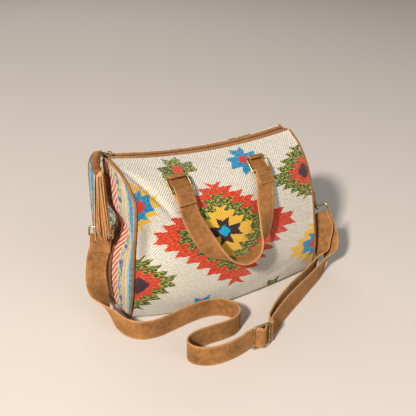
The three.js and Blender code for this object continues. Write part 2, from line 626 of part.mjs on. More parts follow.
// Clips: on each gusset a sewn tab with a D-ring, and the strap's snap hook on it
const CLIPS = {
  left: { side: -1, y: 2, t: 214, clear: 8.6, fall: V(0, 0, -1), drop: V(-0.14, 0.02, -0.99) },
  right: { side: 1, y: -45, t: 212, clear: 7.6, fall: V(0, -0.5, -0.866), drop: V(0.2, -0.5, -0.84) },
};
const STRAP_BAR = {};
function clip(label) {
  const { side, y, t, clear, fall, drop } = CLIPS[label];
  const outward = V(side, 0, 0);
  const bar = gussetAt(side, y, t, clear);
  const barDirection = outward.clone().cross(fall).normalize();
  const r = HARDWARE_WIRE + GAP + TAB_THICKNESS / 2;
  const lay = clear - (label === 'left' ? STRIP_GAP + STRIP_THICKNESS : 0) - GAP - TAB_THICKNESS / 2;
  const place = (a, o) => [bar.clone().addScaledVector(fall, a).addScaledVector(outward, o), barDirection];
  const over = -lay + TAB_THICKNESS + GAP;
  const tab = [
    place(-32, -lay), place(-20, -lay), place(-9, -lerp(lay, r, 0.4)), place(0, -r), place(0.71 * r, -0.71 * r),
    place(r, 0), place(0.71 * r, 0.71 * r), place(0, r),
    place(-9, lerp(over, r, 0.45)), place(-20, over), place(-29, over),
  ];
  add(`ring_tab_${label}`, sweep(ribbonStations(tab, 22), flatSection(RING_TAB_WIDTH, TAB_THICKNESS)), suede);

  const down = drop.clone().addScaledVector(barDirection, -drop.dot(barDirection)).normalize();
  const ringPoints = [];
  const half = D_RING_WIDTH / 2;
  for (let i = 0; i <= 12; i++) {
    const angle = (Math.PI * i) / 12;
    ringPoints.push([half * Math.cos(angle), 3 + (D_RING_DROP - 3) * Math.sin(angle)]);
  }
  ringPoints.push([-half, 1.2], [-half + 1.2, 0], [0, 0], [half - 1.2, 0], [half, 1.2]);
  const onRing = ([a, b]) => bar.clone().addScaledVector(barDirection, a).addScaledVector(down, b);
  const ring = ringPoints.map(onRing);
  add(`d_ring_${label}`, sweep(wireStations(ring, true), roundSection(HARDWARE_WIRE, 6), true), brass);

  // Hook: bow with a sprung gate, a barrel and a post that turns in the ring's boss
  const top = bar.clone().addScaledVector(down, D_RING_DROP - 2 * HARDWARE_WIRE - GAP);
  const wide = STRAP_SIDE[label].clone().addScaledVector(down, -STRAP_SIDE[label].dot(down)).normalize();
  const deep = down.clone().cross(barDirection).normalize();
  const at = (b, c) => top.clone().addScaledVector(deep, b).addScaledVector(down, c);
  const h = HOOK_BOW_HALF;
  const bow = [
    [h, 26.6], [6.5, 30], [3.5, 33.5], [0, 35], [-3.5, 33.5], [-6.5, 30], [-h, 26], [-h, 9], [-6, 4],
    [-3.8, 1.3], [0, 0], [3.8, 1.3], [6, 4], [h, 8.6],
  ].map(([b, c]) => at(b, c));
  const turn = new THREE.Quaternion().setFromUnitVectors(V(0, 1, 0), down);
  const rod = (from, to, radius, sides = 12) => {
    const g = new THREE.CylinderGeometry(radius, radius, to - from, sides);
    g.applyQuaternion(turn);
    const middle = at(0, (from + to) / 2);
    return toManifold(g.translate(middle.x, middle.y, middle.z));
  };
  const hook = toManifold(sweep(wireStations(bow), roundSection(HARDWARE_WIRE, 6)))
    .add(rod(34, 42, 3.6)).add(rod(41.5, 52.2, 1.5)).add(rod(50.5, 52.2, 2.9));
  add(`hook_${label}`, fromManifold(hook), brass);
  const gate = [at(h, 25.9 - GAP), at(h, 17), at(h, 9.3 + GAP)];
  add(`hook_gate_${label}`, sweep(wireStations(gate), roundSection(1.3, 8)), brass);
  const loop = roundedLoop(STRAP_WIDTH + 2 * HARDWARE_WIRE + 1.4, HOOK_RING_HEIGHT, 4).map(([a, b]) =>
    at(0, 46.3 + HOOK_RING_HEIGHT / 2 - b).addScaledVector(wide, a));
  const strapRing = toManifold(sweep(wireStations(loop, true), roundSection(HARDWARE_WIRE, 6), true))
    .add(rod(42.6, 49.9, 3.6)).subtract(rod(42, 50.4, 1.95));
  add(`strap_ring_${label}`, fromManifold(strapRing), brass);
  STRAP_BAR[label] = { bar: at(0, 46.3 + HOOK_RING_HEIGHT), down, wide };
}
const STRAP_SIDE = { left: V(-0.8, 0.6, 0), right: V(0.503, -0.686, 0.527) };
clip('left');
clip('right');

// Shoulder strap: one band from the left ring, over the floor in an S, through
// its slider, over the right ring and back to the slider's middle bar.
const FLOOR = STRAP_WIDTH / 2 + 0.4;
const SLIDER_LIFT = 22.4;
const STRAP_ROUTE_OUT = [
  [-202, 9, 78, -0.8, 0.6, 0], [-207, 3, 50, -0.85, 0.5, 0.1],
  [-210, -16, 30, -0.8, 0.2, 0.5], [-210, -44, 19.5, -0.4, 0, 0.9],
  [-207, -74, FLOOR, 0, 0, 1], [-201, -102, FLOOR, 0, 0, 1],
  [-186, -120, FLOOR, 0, 0, 1], [-165, -127.5, FLOOR, 0, 0, 1],
  [-138, -127, FLOOR, 0, 0, 1], [-110, -124, FLOOR, 0, 0, 1],
  [-84, -123, FLOOR, 0, 0, 1], [-62, -126, FLOOR, 0, 0, 1],
  [-45, -134, FLOOR, 0, 0, 1], [-34, -148, FLOOR, 0, 0, 1],
  [-31, -163, FLOOR, 0, 0, 1], [-36, -178, FLOOR, 0, 0, 1],
  [-50, -187, FLOOR, 0, 0, 1], [-73, -189, FLOOR, 0, 0, 1],
  [-98, -186.5, FLOOR, 0, 0, 1], [-122, -185.5, FLOOR, 0, 0, 1],
  [-139, -190, FLOOR, 0, 0, 1], [-147, -200, FLOOR, 0, 0, 1],
  [-145, -213, FLOOR, 0, 0, 1], [-134, -225, FLOOR, 0, 0, 1],
  [-116, -232.5, FLOOR, 0, 0, 1], [-94, -235, FLOOR, 0, 0, 1], [-72, -234.5, 20, 0, 0, 1],
];
const STRAP_SLIDER = { x: -36, y: -236.5, angle: -0.08 };
const STRAP_ROUTE_RISE = [
  [-6, -225, 20.5, 0, 0.1, 1], [20, -208, FLOOR, 0, 0.15, 1],
  [54, -190, FLOOR, 0, 0.15, 1], [94, -172, FLOOR, 0, 0.1, 1],
  [134, -154, FLOOR, 0, 0, 1], [166, -139, FLOOR, 0, 0, 1],
  [190, -127, 21, 0.1, -0.1, 1], [206, -118, 34, 0.3, -0.3, 0.9],
  [215, -109, 56, 0.45, -0.6, 0.6],
];
const STRAP_ROUTE_RETURN = [
  [201, -103, 58, 0.45, -0.6, 0.6], [193, -109, 36, 0.3, -0.3, 0.9],
  [178, -117, 22, 0.1, -0.1, 1], [155, -129, FLOOR, 0, 0, 1],
  [122, -144, FLOOR, 0, 0, 1], [82, -162, FLOOR, 0, 0.1, 1],
  [42, -183, FLOOR, 0, 0.15, 1], [12, -203, 19, 0, 0.15, 1],
  [-6, -218, 20.5, 0, 0.1, 1],
];
const routePoint = ([x, y, z, sx, sy, sz]) => [V(x, y, z), V(sx, sy, sz).normalize()];
const sliderAt = (a, o, z = SLIDER_LIFT) => V(
  STRAP_SLIDER.x + a * Math.cos(STRAP_SLIDER.angle) + o * Math.sin(STRAP_SLIDER.angle),
  STRAP_SLIDER.y + a * Math.sin(STRAP_SLIDER.angle) - o * Math.cos(STRAP_SLIDER.angle), z);
const upright = V(0, 0, 1);
const hug = STRAP_SLIDER_WIRE + GAP + STRAP_THICKNESS / 2;
const past = hug + STRAP_THICKNESS + GAP;
const reach = STRAP_SLIDER_HALF;
const throughSlider = [
  [-reach - 9, -2], [-reach, -hug], [-reach / 2, 1.4], [-2.5, past - 0.3],
  [2.5, past - 0.3], [reach / 2, 1.4], [reach, -hug], [reach + 8, -3.4],
].map(([along, out]) => [sliderAt(along, out), upright]);
const backToSlider = [
  [reach + 8, -past - 0.6], [reach, -past], [reach / 2, -past + 1.2], [1.5, -hug - 0.2],
  [-0.71 * hug, -0.71 * hug], [-hug, 0], [-0.71 * hug, 0.71 * hug], [0.4, hug],
].map(([along, out]) => [sliderAt(along, out), upright]);

const leftEnd = STRAP_BAR.left;
const leftOut = leftEnd.wide.clone().cross(leftEnd.down).normalize();
if (leftOut.y > 0) leftOut.negate();
const startFold = turnRound(
  leftEnd.bar, leftEnd.down, leftOut, leftEnd.wide, HARDWARE_WIRE, STRAP_THICKNESS, 26);
const rightEnd = STRAP_BAR.right;
const rightOut = rightEnd.wide.clone().cross(rightEnd.down).normalize();
if (rightOut.x < 0) rightOut.negate();
const ringHug = HARDWARE_WIRE + GAP + STRAP_THICKNESS / 2;
const overRing = [[22, 5], [9, 4.4], [0, ringHug], [-0.71 * ringHug, 0.71 * ringHug], [-ringHug, 0],
  [-0.71 * ringHug, -0.71 * ringHug], [0, -ringHug], [9, -4.4], [22, -6]].map(([a, o]) =>
  [rightEnd.bar.clone().addScaledVector(rightEnd.down, a).addScaledVector(rightOut, o), rightEnd.wide]);
const strapWay = [
  ...startFold, ...STRAP_ROUTE_OUT.map(routePoint), ...throughSlider,
  ...STRAP_ROUTE_RISE.map(routePoint), ...overRing, ...STRAP_ROUTE_RETURN.map(routePoint), ...backToSlider,
];
add('shoulder_strap', sweep(ribbonStations(strapWay, 96), flatSection(STRAP_WIDTH, STRAP_THICKNESS)), suede);

const frameLoop = roundedLoop(2 * STRAP_SLIDER_HALF, 41, 3).map(([a, b]) => sliderAt(a, 0, 22.4 + b));
const middleBar = [sliderAt(0, 0, 22.4 - 20.5), sliderAt(0, 0, 22.4 + 20.5)];
const strapSlider = toManifold(sweep(wireStations(frameLoop, true), roundSection(STRAP_SLIDER_WIRE, 6), true))
  .add(toManifold(sweep(wireStations(middleBar), roundSection(STRAP_SLIDER_WIRE, 6))));
add('strap_slider', fromManifold(strapSlider), brass);

export default bag;
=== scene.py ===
import math

import bpy
import numpy as np
from mathutils import Matrix


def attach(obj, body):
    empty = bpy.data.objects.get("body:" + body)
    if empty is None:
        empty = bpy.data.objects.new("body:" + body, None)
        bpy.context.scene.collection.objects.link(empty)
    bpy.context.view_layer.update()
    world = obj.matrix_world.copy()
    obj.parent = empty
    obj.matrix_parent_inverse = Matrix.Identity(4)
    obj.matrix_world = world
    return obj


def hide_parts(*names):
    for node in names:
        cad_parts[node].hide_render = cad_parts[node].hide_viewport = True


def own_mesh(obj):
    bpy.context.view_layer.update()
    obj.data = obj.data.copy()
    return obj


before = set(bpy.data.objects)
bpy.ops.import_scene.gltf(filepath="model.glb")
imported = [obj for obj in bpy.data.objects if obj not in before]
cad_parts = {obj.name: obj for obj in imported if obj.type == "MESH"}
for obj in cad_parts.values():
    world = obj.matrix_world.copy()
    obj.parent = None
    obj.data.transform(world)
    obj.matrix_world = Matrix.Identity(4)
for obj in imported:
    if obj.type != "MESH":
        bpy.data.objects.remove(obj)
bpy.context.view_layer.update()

# Room, camera and light: a pale floor seen from 32 degrees left of the bag's
# front and 27 degrees above it. One small strong lamp stands to the left like
# low sun, with two wide weak ones in front and behind.
EYE = np.array([-0.51246, -0.84251, 0.63570])
LOOK_AT = np.array([0.014, 0.0, 0.1295])
LAMPS_AIM_AT = np.array([0.0, 0.0, 0.1])
FRAME_PIXELS = 416
FOCAL_PIXELS = 620
SENSOR = 36.0


def unit(v):
    """The vectors of v, each divided by its own length."""
    return v / np.maximum(np.linalg.norm(v, axis=-1, keepdims=True), 1e-12)


def aim(thing, place, target):
    """Puts a lamp or camera at place with its -Z axis towards target and its X axis level."""
    back = unit(np.asarray(place, float) - target)
    right = unit(np.cross([0.0, 0.0, 1.0], back))
    rows = np.stack([right, np.cross(back, right), back, place], axis=1)
    thing.matrix_world = Matrix([*rows.tolist(), [0, 0, 0, 1]])


camera = bpy.data.objects.new("camera", bpy.data.cameras.new("camera"))
camera.data.sensor_width = SENSOR
camera.data.lens = SENSOR * FOCAL_PIXELS / FRAME_PIXELS
camera.data.clip_start = 0.01
bpy.context.collection.objects.link(camera)
aim(camera, EYE, LOOK_AT)
bpy.context.scene.camera = camera

for lamp_name, place, size, watts, tint in [
    ("key_lamp", (-2.7, -1.8, 2.5), 0.36, 250, (1.0, 0.96, 0.90)),
    ("fill_lamp", (1.2, -3.2, 2.0), 2.4, 30, (0.96, 0.98, 1.0)),
    ("back_lamp", (0.6, 3.2, 2.6), 2.2, 30, (1.0, 0.97, 0.94)),
]:
    lamp = bpy.data.objects.new(lamp_name, bpy.data.lights.new(lamp_name, "AREA"))
    lamp.data.size = size
    lamp.data.energy = watts
    lamp.data.color = tint
    bpy.context.collection.objects.link(lamp)
    aim(lamp, place, LAMPS_AIM_AT)

sky = bpy.data.worlds.new("sky")
bpy.context.scene.world = sky
sky.use_nodes = True
sky.node_tree.nodes["Background"].inputs["Color"].default_value = (0.92, 0.94, 1.0, 1)
sky.node_tree.nodes["Background"].inputs["Strength"].default_value = 0.24
bpy.context.scene.view_settings.view_transform = "Standard"


class Value:
    """One number socket of a material; arithmetic on it adds the Math nodes that work it out."""

    def __init__(self, stuff, socket):
        self.stuff = stuff
        self.socket = socket

    def math(self, operation, *others):
        return self.stuff.node("ShaderNodeMath", {"operation": operation}, dict(enumerate((self, *others))))

    def __add__(self, other):
        return self.math("ADD", other)

    __radd__ = __add__

    def __sub__(self, other):
        return self.math("SUBTRACT", other)

    def __rsub__(self, other):
        return (self * -1.0) + other

    def __mul__(self, other):
        return self.math("MULTIPLY", other)

    __rmul__ = __mul__

    def __truediv__(self, other):
        return self.math("DIVIDE", other)

    def __lt__(self, other):
        return self.math("LESS_THAN", other)

    def __gt__(self, other):
        return self.math("GREATER_THAN", other)

    def __abs__(self):
        return self.math("ABSOLUTE")

    def floor(self):
        return self.math("FLOOR")

    def fract(self):
        return self.math("FRACT")

    def sin(self):
        return self.math("SINE")

    def low(self, other):
        return self.math("MINIMUM", other)

    def high(self, other):
        return self.math("MAXIMUM", other)

    def ramp(self, start, end):
        """0 below start, 1 above end, straight between them."""
        sockets = {"Value": self, "From Min": start, "From Max": end}
        return self.stuff.node("ShaderNodeMapRange", {"clamp": True}, sockets)


def paint(red, green, blue):
    """A colour seen on a screen, 0 to 255 each, as the light that Blender mixes."""
    seen = np.array([red, green, blue]) / 255
    light = np.where(seen <= 0.04045, seen / 12.92, ((seen + 0.055) / 1.055) ** 2.4)
    return (*light, 1.0)


WHITE = (1, 1, 1, 1)


class Stuff:
    """A material: node() adds a node, look() sets what the surface shows."""

    def __init__(self, name):
        self.material = bpy.data.materials.new(name)
        self.material.use_nodes = True
        self.tree = self.material.node_tree
        self.tree.nodes.clear()
        self.surface = self.tree.nodes.new("ShaderNodeBsdfPrincipled")
        output = self.tree.nodes.new("ShaderNodeOutputMaterial")
        self.tree.links.new(self.surface.outputs[0], output.inputs["Surface"])

    def set(self, node, sockets):
        for key, value in sockets.items():
            socket = node.inputs[key]
            if isinstance(value, Value):
                self.tree.links.new(value.socket, socket)
            else:
                socket.default_value = value

    def node(self, kind, settings, sockets, out=0):
        """A node of that kind, its settings made first, then its sockets' values or links."""
        node = self.tree.nodes.new(kind)
        for key, value in settings.items():
            setattr(node, key, value)
        self.set(node, sockets)
        return Value(self, node.outputs[out])

    def look(self, **sockets):
        self.set(self.surface, {key.replace("_", " "): value for key, value in sockets.items()})

    def place(self, kind="Object"):
        """Object or UV coordinates as three values and the vector itself."""
        vector = self.node("ShaderNodeTexCoord", {}, {}, out=kind)
        split = [self.node("ShaderNodeSeparateXYZ", {}, {0: vector}, out=axis) for axis in "XYZ"]
        return (*split, vector)

    def vector(self, x=0.0, y=0.0, z=0.0):
        return self.node("ShaderNodeCombineXYZ", {}, {0: x, 1: y, 2: z})

    def noise(self, vector, scale, detail=3.0, rough=0.55):
        sockets = {"Vector": vector, "Scale": scale, "Detail": detail, "Roughness": rough}
        return self.node("ShaderNodeTexNoise", {}, sockets)

    def mix(self, factor, first, second, blend="MIX"):
        settings = {"data_type": "RGBA", "blend_type": blend}
        return self.node("ShaderNodeMix", settings, {0: factor, 6: first, 7: second}, out=2)

    def shaded(self, colour, light, groove, crown=WHITE):
        """The colour times a shade that goes from the groove's to the crown's as light goes from 0 to 1."""
        return self.mix(1.0, colour, self.mix(light, groove, crown), "MULTIPLY")

    def bump(self, height, distance, strength=1.0):
        return self.node("ShaderNodeBump", {}, {"Height": height, "Distance": distance, "Strength": strength})


FLOOR_HALF = 12.0
FLOOR_BELOW = 0.0004
floor_turns = [(-1, -1), (1, -1), (1, 1), (-1, 1)]
floor_corners = [(FLOOR_HALF * x, FLOOR_HALF * y, -FLOOR_BELOW) for x, y in floor_turns]
floor_mesh = bpy.data.meshes.new("floor")
floor_mesh.from_pydata(floor_corners, [], [(0, 1, 2, 3)])
floor = bpy.data.objects.new("floor", floor_mesh)
bpy.context.collection.objects.link(floor)
floor_stuff = Stuff("floor_paper")
floor_stuff.look(Base_Color=paint(202, 191, 181), Roughness=0.85)
floor_mesh.materials.append(floor_stuff.material)


# Suede: every strap, tab and trim is cut from a tan napped hide, its lit and shaded colours mixed
# in random patches, with fine specks of painted shade for the nap's hollows, and paler along cut edges.
def suede(name, lit, shade, edge_width=None, pale_edge_share=0.4):
    """Tan nap: broad blotches and brushed patches that mix its lit and shaded colours, fine pile specks of
    painted shade, and a cut edge made paler where the width of a band is given, whose UV y runs across it in
    metres."""
    stuff = Stuff(name)
    _, _, _, at = stuff.place()
    blotch = stuff.noise(at, 22, 4)
    brushed = stuff.noise(at, 140, 5, 0.65)
    pile = stuff.noise(at, 1500, 2, 0.7)
    tone = (blotch * 0.55 + brushed * 0.45).ramp(0.36, 0.66)
    # painted light and shade: random patches between the hide's lit colour and its shaded colour
    colour = stuff.mix(tone, paint(*shade), paint(*lit))
    # painted shade: fine dark specks standing for the shade in the nap's hollows
    nap_shade_speck = pile.ramp(0.3, 0.75)
    colour = stuff.mix(nap_shade_speck * 0.35, colour, paint(*[0.62 * c for c in shade]))
    if edge_width:
        _, across, _, _ = stuff.place("UV")
        # the band is painted paler along both cut edges
        pale_edge = abs(across).ramp(edge_width / 2 - 0.0016, edge_width / 2 - 0.0002)
        colour = stuff.mix(pale_edge * pale_edge_share, colour, paint(212, 164, 110))
    height = brushed * 0.6 + pile * 0.4
    stuff.look(Base_Color=colour, Roughness=(blotch * 0.16 + 0.78).low(0.98),
               Normal=stuff.bump(height, 0.0006, 0.55), Sheen_Weight=0.35, Sheen_Roughness=0.45,
               Sheen_Tint=paint(232, 178, 120), Specular_IOR_Level=0.2)
    return stuff


TAN = (170, 112, 61)
TAN_SHADE = (108, 66, 33)
tan_suede = suede("tan_suede", TAN, TAN_SHADE)


# Geometry shared by all pieces that are sewn, cast or bent: loops of points
# set one after another and joined into one closed skin.
def loop_faces(rows, cols, ring):
    """Quads between neighbouring loops, as (row, column) corners; open ends get strips across the loop."""
    r, c = np.meshgrid(np.arange(rows if ring else rows - 1), np.arange(cols), indexing="ij")
    corners = [np.stack([r + dr, c + dc], -1).reshape(-1, 2) for dr, dc in [(0, 0), (0, 1), (1, 1), (1, 0)]]
    faces = np.stack(corners, 1)
    if not ring:
        i = np.arange(cols // 2 - 1)
        across = [i, cols - 1 - i, cols - 2 - i, i + 1]
        first = np.stack([np.stack([0 * i, k], -1) for k in across], 1)
        last = np.stack([np.stack([0 * i + rows - 1, k], -1) for k in across[::-1]], 1)
        faces = np.concatenate([faces, first, last])
    return faces


def run_length(points, axis, around=False):
    """Distance walked along an axis of a grid, averaged over the others, with the closing step last."""
    ahead = np.roll(points, -1, axis) if around else np.delete(points, 0, axis)
    here = points if around else np.delete(points, -1, axis)
    steps = np.linalg.norm(ahead - here, axis=-1)
    steps = steps.mean(axis=tuple(k for k in range(steps.ndim) if k != axis))
    return np.concatenate([[0.0], np.cumsum(steps)])


def shell(points, uv=None, ring=False):
    """One closed skin of a piece: loops of points, rows x columns x 3, or many such grids at once. uv is
    rows x columns + 1 x 2, or metres walked along the rows and round the loops. A ring's ends are joined."""
    return points, uv, ring


def piece(name, body, shells, stuff, node=None, sharp=42):
    """One object from its shells, faces turned out, riding on a body and standing for a CAD node if named."""
    places, corners, uvs, base = [], [], [], 0
    for points, uv, ring in shells:
        grids = points.reshape(-1, *points.shape[-3:])
        count, rows, cols, _ = grids.shape
        if uv is None:
            along = run_length(grids[0], 0, ring)
            around = run_length(grids[0], 1, True)
            uv = np.stack(np.broadcast_arrays(along[:, None], around[None, :]), -1)
        faces = loop_faces(rows, cols, ring)
        index = (faces[..., 0] % rows) * cols + faces[..., 1] % cols
        first = grids[0].reshape(-1, 3)
        a, b, c, d = (first[index[:, k]] for k in range(4))
        volume = (a * np.cross(b, c)).sum() + (a * np.cross(c, d)).sum()
        face_uv = uv[faces[..., 0], faces[..., 1]]
        if volume < 0:
            index, face_uv = index[:, ::-1], face_uv[:, ::-1]
        places.append(grids.reshape(-1, 3))
        offsets = base + np.arange(count)[:, None, None] * rows * cols
        corners.append((index[None] + offsets).reshape(-1, 4))
        uvs.append(np.broadcast_to(face_uv, (count, *face_uv.shape)).reshape(-1, 2))
        base += count * rows * cols
    places, corners, uvs = np.concatenate(places), np.concatenate(corners), np.concatenate(uvs)
    mesh = bpy.data.meshes.new(name)
    mesh.vertices.add(len(places))
    mesh.vertices.foreach_set("co", places.ravel())
    mesh.loops.add(corners.size)
    mesh.loops.foreach_set("vertex_index", corners.ravel().astype(np.int32))
    mesh.polygons.add(len(corners))
    mesh.polygons.foreach_set("loop_start", np.arange(0, corners.size, 4, dtype=np.int32))
    mesh.uv_layers.new(name="UVMap").data.foreach_set("uv", uvs.ravel())
    mesh.update(calc_edges=True)
    mesh.validate()
    mesh.shade_smooth()
    if sharp:
        mesh.set_sharp_from_angle(angle=math.radians(sharp))
    mesh.materials.append(stuff.material)
    made = bpy.data.objects.new(name, mesh)
    bpy.context.collection.objects.link(made)
    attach(made, body)
    if node:
        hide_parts(node)
    return made


def walked(points):
    """Distance walked along a line of points, from its first to each of them."""
    return np.concatenate([[0.0], np.cumsum(np.linalg.norm(np.diff(points, axis=0), axis=1))])


def square_to(way, axis):
    """Direction of way once its share along axis, a direction of length 1, is taken out."""
    return unit(way - (way * axis).sum(-1, keepdims=True) * axis)


def ribbon(way, spacing):
    """Stations on the centripetal Catmull-Rom curve through way points (x, y, z, side x, y, z), about spacing
    apart: point, side (turned square to the curve), normal and distance walked."""
    way = np.asarray(way, float)
    p, sides = way[:, :3], unit(way[:, 3:])
    ext = np.vstack([2 * p[0] - p[1], p, 2 * p[-1] - p[-2]])
    gaps = np.maximum(np.linalg.norm(np.diff(ext, axis=0), axis=1), 1e-9) ** 0.5
    spans = np.linalg.norm(np.diff(p, axis=0), axis=1)
    cuts = np.maximum(1, np.round(spans / spacing)).astype(int)
    k = np.concatenate([i + np.arange(n) / n for i, n in enumerate(cuts)] + [[len(cuts)]])
    i = np.minimum(k.astype(int), len(cuts) - 1)
    u = (k - i)[:, None]
    x0, x1, x2, x3 = ext[i], ext[i + 1], ext[i + 2], ext[i + 3]
    d0, d1, d2 = (gaps[i + n][:, None] for n in range(3))
    t1 = ((x1 - x0) / d0 - (x2 - x0) / (d0 + d1) + (x2 - x1) / d1) * d1
    t2 = ((x2 - x1) / d1 - (x3 - x1) / (d1 + d2) + (x3 - x2) / d2) * d1
    c2, c3 = -3 * x1 + 3 * x2 - 2 * t1 - t2, 2 * x1 - 2 * x2 + t1 + t2
    point = x1 + t1 * u + c2 * u ** 2 + c3 * u ** 3
    along = unit(t1 + 2 * c2 * u + 3 * c3 * u ** 2)
    side = square_to(sides[i] + (sides[i + 1] - sides[i]) * u, along)
    return point, side, np.cross(along, side), walked(point)


def swept(stations, across, out):
    """Grid of a section (across, out) carried along the stations; both may vary from station to station."""
    point, side, normal, _ = stations
    across, out = np.atleast_2d(across), np.atleast_2d(out)
    return point[:, None] + side[:, None] * across[..., None] + normal[:, None] * out[..., None]


def band_section(width, thickness, steps=9):
    """Section of a cut strap: flat faces with rounded edges, as across and out."""
    w, t = width / 2, thickness / 2
    r = min(t, 0.0009)
    flat = np.linspace(-1, 1, steps) * (w - r)
    edge = np.radians([67.5, 45, 22.5, 0, -22.5, -45, -67.5])
    round_across, round_out = w - r + r * np.cos(edge), (t - r) * np.sign(edge) + r * np.sin(edge)
    across = np.concatenate([flat, round_across, flat[::-1], -round_across])
    out = np.concatenate([0 * flat + t, round_out, 0 * flat - t, -round_out])
    return across, out


def band_shell(stations, width, thickness, steps=9, swell=1.0):
    """Skin of a cut strap along the stations, swell times as wide, with UV x along it and UV y across it."""
    across, out = band_section(width, thickness, steps)
    run = stations[3][:, None]
    uv = np.stack(np.broadcast_arrays(run, np.append(across, across[0])[None]), -1)
    return shell(swept(stations, across * swell, out + 0 * run), uv)


# Sizes that more than one piece shares: the strap's band, the wire of the
# rings and the play between parts that are not sewn together.
STRAP_WIDTH = 0.035
STRAP_THICKNESS = 0.0025
WIRE = 0.0017
GAP = 0.0004
FRONT_AND_BACK = (("front", -1), ("back", 1))
LEFT_AND_RIGHT = (("left", -1), ("right", 1))


def turned(centre, along, out, side, turns):
    """Way points round a bar: each turn is (distance along, distance out) from the bar's centre."""
    return [(*(centre + along * a + out * o), *side) for a, o in turns]


def turn_round(centre, along, out, side, wire, thickness, tip):
    """Way points of a strap end turned round a bar: from its sewn tip, round the bar and out again."""
    r = wire + GAP + thickness / 2
    flat = (thickness + GAP) / 2
    knee = flat + (r - flat) * 0.35
    return turned(centre, along, out, side, [
        (tip, flat), (min(tip - 0.002, 2.6 * r + 0.004), flat), (2.2 * r, knee), (0.9 * r, 0.93 * r), (0, r),
        (-0.71 * r, 0.71 * r), (-r, 0), (-0.71 * r, -0.71 * r), (0, -r), (0.9 * r, -0.93 * r),
        (2.2 * r, -knee), (2.6 * r + 0.004, -flat)])


# Body: a sewn shell of kilim cloth that stands up softly between its two
# gussets. Front and back are one shape, lower and fuller in the middle, with
# the sections of the left end, the middle and the right end blended.
HALF_LENGTH = 0.180
NOMINAL_HEIGHT = 0.262
TOP_RADIUS = 1.091175
TOP_CENTRE_X = 0.0626703
TOP_CENTRE_Z = 1.3368487
BACK_DEPTH_RATIO = 0.84
FACING_DEPTH = 0.015
CLOTH = 0.0024
PIPING_RADIUS = 0.0023
PIPING_INSET = PIPING_RADIUS - 0.0008
KNOTS = np.array([0, 0.014, 0.026, 0.070, 0.145, 0.205, 0.245, 0.285, 0.325])
BASE_KNOT, TOP_KNOT = KNOTS[1], KNOTS[-1]
LEFT_SECTION = np.array([(0.042, 0), (0.056, 0.0005), (0.065, 0.008), (0.079, 0.056), (0.089, 0.134),
                         (0.097, 0.192), (0.092, 0.224), (0.058, 0.250), (0.015, 0.262)])
MIDDLE_SECTION = np.array([(0.090, 0), (0.104, 0.0005), (0.113, 0.008), (0.120, 0.045), (0.116, 0.110),
                           (0.105, 0.168), (0.086, 0.214), (0.052, 0.247), (0.015, 0.262)])
RIGHT_SECTION = np.array([(0.080, 0), (0.094, 0.0005), (0.103, 0.008), (0.107, 0.052), (0.097, 0.110),
                          (0.085, 0.165), (0.068, 0.208), (0.043, 0.242), (0.015, 0.262)])


def bump(value, centre, width):
    """A smooth hump of height 1 at centre, spread over width."""
    return np.exp(-(((value - centre) / width) ** 2))


def held(value):
    """The value, held between 0 and 1."""
    return np.clip(value, 0, 1)


def top_at(x):
    """Height of the zip at x: an arc that sags between the two gussets."""
    return TOP_CENTRE_Z - np.sqrt(TOP_RADIUS ** 2 - (x - TOP_CENTRE_X) ** 2)


def section_at(section, t):
    """Half depth and height of a section at t: cubic pieces through its points, smooth at each."""
    last = len(KNOTS) - 1
    i = np.clip(np.searchsorted(KNOTS, t, side="left") - 1, 0, last - 1)
    before, after = np.maximum(np.arange(last + 1) - 1, 0), np.minimum(np.arange(last + 1) + 1, last)
    slope = (section[after] - section[before]) / (KNOTS[after] - KNOTS[before])[:, None]
    span = (KNOTS[i + 1] - KNOTS[i])[..., None]
    k = (t - KNOTS[i])[..., None] / span
    return ((2 * k ** 3 - 3 * k ** 2 + 1) * section[i] + (k ** 3 - 2 * k ** 2 + k) * slope[i] * span
            + (3 * k ** 2 - 2 * k ** 3) * section[i + 1] + (k ** 3 - k ** 2) * slope[i + 1] * span)


def skin(s, t, face):
    """Point of the cloth's outside. s runs from -1 at the left gusset to 1 at the right, t up the section
    from under the base to the zip; face is -1 in front, pressed in near its left end, and 1 behind."""
    s, t = np.broadcast_arrays(np.asarray(s, float), np.asarray(t, float))
    end = np.where((s < 0)[..., None], section_at(LEFT_SECTION, t), section_at(RIGHT_SECTION, t))
    middle = section_at(MIDDLE_SECTION, t)
    depth, height = np.moveaxis(middle + (end - middle) * (np.abs(s) ** 1.8)[..., None], -1, 0)
    rise = t / TOP_KNOT
    left = -HALF_LENGTH + 0.006 * np.sin(np.pi * rise ** 2) + 0.004 * rise ** 4
    right = HALF_LENGTH + 0.004 * np.sin(np.pi * rise) + 0.001 * rise ** 4
    x = left + (right - left) * (s + 1) / 2
    if face < 0:
        crease = bump(t - 0.250, 0.020 - 0.0558 * (s + 1), 0.016) * bump(s, -0.8, 0.2)
        hollow = bump(s, -0.8, 0.13) * bump(t, 0.165, 0.042)
        fade = held((1 - np.abs(s)) * 12) * held((TOP_KNOT - t) / 0.025) * held(t / 0.040)
        depth = depth - (0.006 * crease + 0.005 * hollow) * fade
    else:
        depth = FACING_DEPTH + (depth - FACING_DEPTH) * BACK_DEPTH_RATIO
    return np.stack([x, face * depth, height * top_at(x) / NOMINAL_HEIGHT], -1)


def skin_normal(s, t, face):
    """Outward direction of the cloth at s, t."""
    s, t = np.broadcast_arrays(np.asarray(s, float), np.asarray(t, float))
    a = skin(np.minimum(1, s + 0.004), t, face) - skin(np.maximum(-1, s - 0.004), t, face)
    b = skin(s, np.minimum(TOP_KNOT, t + 0.001), face) - skin(s, np.maximum(0, t - 0.001), face)
    return unit(np.cross(a, b) * -face)


